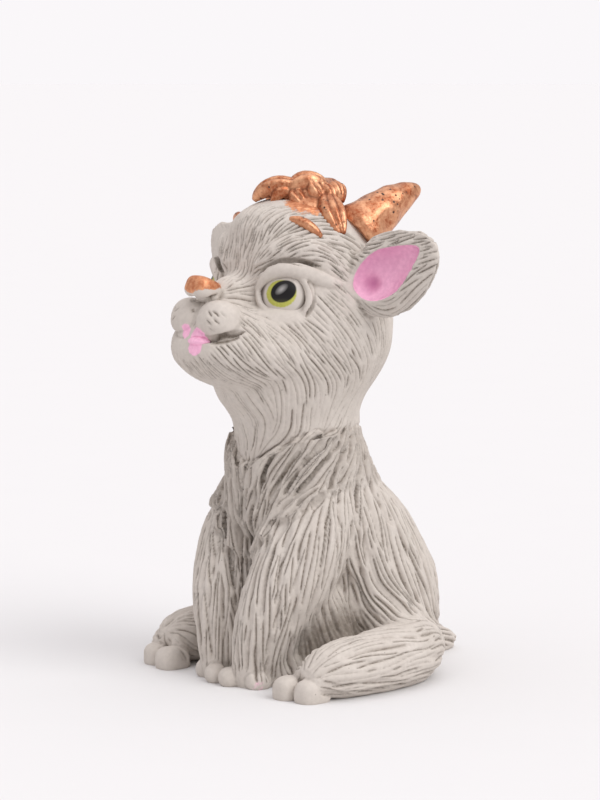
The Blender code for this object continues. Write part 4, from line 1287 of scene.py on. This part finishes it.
def cut_level(skin, height, keep_above):
    """A closed skin cut level, with one face over the cut."""
    bm = bmesh.new()
    bm.from_mesh(skin)
    cut = bmesh.ops.bisect_plane(bm, geom=bm.verts[:] + bm.edges[:] + bm.faces[:],
                                 plane_co=(0, 0, height), plane_no=(0, 0, 1),
                                 clear_inner=keep_above, clear_outer=not keep_above)
    rim = [item for item in cut["geom_cut"] if isinstance(item, bmesh.types.BMEdge)]
    bmesh.ops.holes_fill(bm, edges=rim)
    bmesh.ops.triangulate(bm, faces=[face for face in bm.faces if len(face.verts) > 4])
    return bm


def head_skin():
    skin = soft_skin()
    lifts = []
    for vert in skin.vertices:
        below = mane_edges(vert.co)[0] - vert.co.z
        lifts.append(-NECK_INSET * ease(below / MANE_EDGE) if vert.co.z < 60 * MM else 0)
    shift(skin, lifts)
    bm = cut_level(skin, NECK_CUT, True)
    add_muzzle(bm)
    add_lids(bm)
    add_ears(bm)
    skin = fused(mesh_of(bm, "head"), HEAD_VOXEL, 3)
    lumpy(skin, 0.12 * MM, 3.4 * MM)
    paint = [press_ear(skin, side) for side in SIDES]
    pink = np.maximum(paint[0][0], paint[1][0])
    # deep: the painted shade in the ear pits and under the upper rims of the hollows.
    deep = np.maximum(paint[0][1], paint[1][1])
    folds = hollows(skin, 20)
    coat = Coat(skin, 5)
    for width, depth, right_share, points in CREASES:
        coat.add_crease(width, depth, points)
        if right_share:
            coat.add_crease(width, depth * right_share, [(-x, y, z) for x, y, z in points])
    coat.grow(lambda spot: spot.z > 40 * MM and mane_cover(spot) < 0.9)
    cuts = carve(skin, coat.lines)
    places = read_points(skin)
    for spot, reach in ((at(2.4, -36, 63.4), 2.2), (at(-1.4, -35.6, 66), 2), (at(2, -34, 65), 2.6)):
        pink = np.maximum(pink, near(places, spot, reach * MM) * 1.6)
    nose = face_frame() @ at(0, -23.4, -4.4)
    above = (places[:, 2] - 0.3 * np.abs(places[:, 0])) / MM - 72.6
    copper = np.clip(near(places, nose, 4.2 * MM) * 3, 0, 1) * np.clip(0.5 + above * 1.5, 0, 1)
    copper = np.maximum(copper, near(places, at(5.5, -12.5, 87.4), 5.5 * MM) * 1.5)
    add_attribute(skin, "groove", cuts)
    add_attribute(skin, "fold", folds)
    add_attribute(skin, "pink", np.clip(pink, 0, 1))
    add_attribute(skin, "deep", deep)
    add_attribute(skin, "copper", np.clip(copper, 0, 1))
    return skin


def body_skin():
    skin = soft_skin()
    lifts = []
    for vert in skin.vertices:
        place = vert.co
        lift = 0
        if 20 * MM < place.z < 60 * MM:
            collar = mane_edges(place)[0]
            lift = mane_thickness(place) * mane_cover(place)
            lift -= NECK_INSET * ease((place.z - collar) / MANE_EDGE)
        lifts.append(lift)
    shift(skin, lifts)
    bm = cut_level(skin, BODY_CUT, False)
    add_toes(bm)
    skin = fused(mesh_of(bm, "body"), BODY_VOXEL, 2)
    lumpy(skin, 0.14 * MM, 3.4 * MM)
    folds = hollows(skin, 14)

    def below_collar(spot):
        return spot.z < 36 * MM or mane_cover(spot) > 0.1

    clumps = Coat(skin, 7)
    clumps.grow(below_collar, CLUMPS)
    broad_cuts = carve(skin, clumps.lines)
    coat = Coat(skin, 6)
    coat.grow(below_collar)
    cuts = np.maximum(carve(skin, coat.lines), 0.35 * broad_cuts)
    places = read_points(skin)
    # Painted shade: the mane a little darker all over, and the belly between the legs much darker.
    folds = np.maximum(folds, 0.32 * np.array([mane_cover(vert.co) for vert in skin.vertices]))
    for side in SIDES:
        belly_shade = near(places, at(side * 11, -10, 6), 11 * MM)
        folds = np.maximum(folds, np.clip(belly_shade * 2.4, 0, 1))
    add_attribute(skin, "groove", cuts)
    add_attribute(skin, "fold", folds)
    add_attribute(skin, "pink", near(places, at(9.4, -26.6, 0.8), 5 * MM) * 0.42)
    bm = cut_level(skin, 0, True)
    return mesh_of(bm, "body")


def part_of(skin, name, wanted):
    """The faces of a skin whose centres pass a test, as a mesh of their own."""
    normals = read_points(skin, "normal")
    index = skin.attributes.new("old_index", "INT", "POINT")
    index.data.foreach_set("value", np.arange(len(skin.vertices), dtype=np.int32))
    bm = bmesh.new()
    bm.from_mesh(skin)
    skin.attributes.remove(skin.attributes["old_index"])
    others = [face for face in bm.faces if not wanted(face.calc_center_median())]
    bmesh.ops.delete(bm, geom=others, context="FACES")
    mesh = bpy.data.meshes.new(name)
    bm.to_mesh(mesh)
    bm.free()
    kept = np.empty(len(mesh.vertices), dtype=np.int32)
    mesh.attributes["old_index"].data.foreach_get("value", kept)
    mesh.attributes.remove(mesh.attributes["old_index"])
    mesh.shade_smooth()
    mesh.normals_split_custom_set_from_vertices([tuple(n) for n in normals[kept]])
    return mesh


class GOAT_OT_head(bpy.types.Operator):
    """Model the head and neck, with lids, muzzle and ears, in two halves"""

    bl_idname = "goat.head"
    bl_label = "Head"

    def execute(self, context):
        skin = head_skin()
        stone = cast_stone("cast_stone_head")
        place_piece(part_of(skin, "head_left", lambda spot: spot.x > 0), "head_left", stone)
        place_piece(part_of(skin, "head_right", lambda spot: spot.x <= 0), "head_right", stone)
        bm = bmesh.new()
        ball(bm, TONGUE, TONGUE_RADII)
        tongue = mesh_of(bm, "tongue")
        add_attribute(tongue, "pink", np.ones(len(tongue.vertices)))
        place_piece(tongue, "tongue", stone)
        return {"FINISHED"}


class GOAT_OT_body(bpy.types.Operator):
    """Model mane, back, legs and tail, in three bands"""

    bl_idname = "goat.body"
    bl_label = "Body"

    def execute(self, context):
        skin = body_skin()
        stone = cast_stone("cast_stone_body")
        bands = (("legs_and_tail", -1, 11), ("lower_body", 11, 26), ("mane_and_back", 26, 60))
        for name, low, high in bands:
            band = part_of(skin, name, lambda spot: low * MM < spot.z <= high * MM)
            place_piece(band, name, stone)
        return {"FINISHED"}


class GOAT_OT_horns(bpy.types.Operator):
    """Model the two horns"""

    bl_idname = "goat.horns"
    bl_label = "Horns"

    def execute(self, context):
        bm = bmesh.new()
        add_horns(bm)
        skin = fused(mesh_of(bm, "horns"), HORN_VOXEL, 4)
        lumpy(skin, 0.32 * MM, 2.8 * MM)
        # The groove layer marks the hollows, where the copper is darkened as painted shade.
        add_attribute(skin, "groove", np.clip(hollows(skin, 14) * 1.6 - 0.1, 0, 0.8))
        place_piece(skin, "horns", copper_paint())
        return {"FINISHED"}


class GOAT_OT_forelock(bpy.types.Operator):
    """Model the forelock of curled locks and the two eyebrows"""

    bl_idname = "goat.forelock"
    bl_label = "Forelock and eyebrows"

    def execute(self, context):
        bm = bmesh.new()
        add_forelock(bm)
        add_eyebrows(bm)
        skin = fused(mesh_of(bm, "forelock"), FORELOCK_VOXEL, 1)
        # The groove layer marks the hollows, where the copper is darkened as painted shade.
        add_attribute(skin, "groove", np.clip(hollows(skin, 14) * 3 - 0.15, 0, 1))
        place_piece(skin, "forelock_and_brows", copper_paint())
        return {"FINISHED"}


class GOAT_OT_eyes(bpy.types.Operator):
    """Model the eyeballs, with the painted eye laid out on each"""

    bl_idname = "goat.eyes"
    bl_label = "Eyes"

    def execute(self, context):
        bm = bmesh.new()
        for side in SIDES:
            aim = flipped(EYE_AIM, side).normalized()
            centre = flipped(EYE_SPOT, side) - aim * (EYE_RADIUS - EYE_BULGE)
            matrix = Matrix.Translation(centre) @ aim.to_track_quat("Z", "Y").to_matrix().to_4x4()
            bmesh.ops.create_uvsphere(bm, u_segments=72, v_segments=60, radius=EYE_RADIUS,
                                      matrix=matrix)
        skin = mesh_of(bm, "eyes")
        shares = {name: [] for name in EYE_LAYERS}
        frames = {side: eye_frame(side).inverted() for side in SIDES}
        for vert in skin.vertices:
            u, v, w = frames[1 if vert.co.x > 0 else -1] @ vert.co / MM
            back = 5 if w < -3 else 0
            shares["iris_share"].append(math.hypot((u + 0.12) / 2.9, (v + 0.05) / 2.55) + back)
            along, over = turned(u - 0.3, v - 0.35, 24)
            shares["pupil_share"].append(math.hypot(along / 2.5, over / 2.05) + back)
            # The painted highlight: a soft oval over the upper part of the pupil.
            along, over = turned(u, v - 0.7, 39.7)
            shares["painted_glint_share"].append(math.hypot(along / 1.5, over / 0.8) + back)
            shares["pupil_low"].append(min(max((0.4 - v) / 2.4, 0), 1))
            # The rim of the ball, which is darkened as painted shade next to the lids.
            shares["rim"].append(math.hypot(u - 0.1, v + 0.1) / 4.15)
        for name, values in shares.items():
            add_attribute(skin, name, values)
        place_piece(skin, "eyes", eye_paint())
        return {"FINISHED"}


class GOAT_OT_stage(bpy.types.Operator):
    """Set the floor, the soft light and the camera"""

    bl_idname = "goat.stage"
    bl_label = "Studio"

    def execute(self, context):
        scene = context.scene
        stage = scene.goat_stage
        bm = bmesh.new()
        bmesh.ops.create_circle(bm, cap_ends=True, segments=96, radius=6)
        floor = bpy.data.objects.new("floor", mesh_of(bm, "floor"))
        scene.collection.objects.link(floor)
        material, tree, shader, place = new_material("matt_white_sweep_paper")
        mottle = add_node(tree, NOISE, {}, {"Vector": place, "Scale": 50, "Detail": 2})
        tone = add_node(tree, MIX, COLOUR, {0: mottle, 6: tinted(stage.floor, 1),
                                            7: tinted(stage.floor, 1.01)}, 2)
        tree.links.new(tone, shader.inputs["Base Color"])
        shader.inputs["Roughness"].default_value = 1
        shader.inputs["Specular IOR Level"].default_value = 0
        floor.data.materials.append(material)

        world = bpy.data.worlds.new("studio")
        world.use_nodes = True
        sky = world.node_tree
        way = add_node(sky, "ShaderNodeTexCoord", {}, {}, "Generated")
        height = add_node(sky, "ShaderNodeSeparateXYZ", {}, {0: way}, 2)
        low = add_node(sky, RANGE, {}, {0: height, 1: 0.04, 2: 0.14, 3: 0.957, 4: 0.6})
        high = add_node(sky, RANGE, {}, {0: height, 1: 0.55, 2: 0.85, 3: 0, 4: 0.75})
        bright = add_node(sky, MATH, {"operation": "ADD"}, {0: low, 1: high})
        sky.links.new(bright, sky.nodes["Background"].inputs["Strength"])
        sky.nodes["Background"].inputs["Color"].default_value = tinted(stage.sky, 1)
        scene.world = world
        key = bpy.data.lights.new("key", "SUN")
        key.energy = 1.3
        key.angle = math.radians(40)
        lamp = bpy.data.objects.new("key", key)
        lamp.rotation_mode = "QUATERNION"
        lamp.rotation_quaternion = Vector((-0.7, -0.14, -0.62)).to_track_quat("-Z", "Y")
        scene.collection.objects.link(lamp)
        scene.view_settings.view_transform = "Standard"

        lens = bpy.data.cameras.new("camera")
        lens.sensor_width = SENSOR
        lens.lens = PIXELS_A_METRE * stage.distance / PICTURE_HEIGHT * SENSOR
        lens.clip_start = 0.01
        camera = bpy.data.objects.new("camera", lens)
        turn, rise = stage.bearing, stage.rise
        level = math.cos(rise)
        gaze = Vector((-math.sin(turn) * level, math.cos(turn) * level, -math.sin(rise)))
        camera.location = GAZE_AT - gaze * stage.distance
        camera.rotation_euler = gaze.to_track_quat("-Z", "Y").to_euler()
        scene.collection.objects.link(camera)
        scene.camera = camera
        return {"FINISHED"}


class GOAT_PT_panel(bpy.types.Panel):
    """Lists the steps and their settings"""

    bl_label = "Kid goat"
    bl_space_type = "VIEW_3D"
    bl_region_type = "UI"
    bl_category = "Goat"

    def draw(self, context):
        layout = self.layout
        for step in STEPS:
            layout.operator(step.bl_idname)
        for group in (context.scene.goat_coat, context.scene.goat_paint, context.scene.goat_stage):
            for name in group.__annotations__:
                layout.prop(group, name)


STEPS = (GOAT_OT_stage, GOAT_OT_head, GOAT_OT_body, GOAT_OT_horns, GOAT_OT_forelock, GOAT_OT_eyes)
GROUPS = (("goat_coat", GoatCoat), ("goat_paint", GoatPaint), ("goat_stage", GoatStage))


def register():
    for name, group in GROUPS:
        bpy.utils.register_class(group)
        setattr(bpy.types.Scene, name, PointerProperty(type=group))
    for kind in (*STEPS, GOAT_PT_panel):
        bpy.utils.register_class(kind)


def unregister():
    for kind in (GOAT_PT_panel, *STEPS):
        bpy.utils.unregister_class(kind)
    for name, group in GROUPS:
        delattr(bpy.types.Scene, name)
        bpy.utils.unregister_class(group)


def main():
    register()
    bpy.ops.goat.stage()
    bpy.ops.goat.head()
    bpy.ops.goat.body()
    bpy.ops.goat.horns()
    bpy.ops.goat.forelock()
    bpy.ops.goat.eyes()


if __name__ == "__main__":
    main()
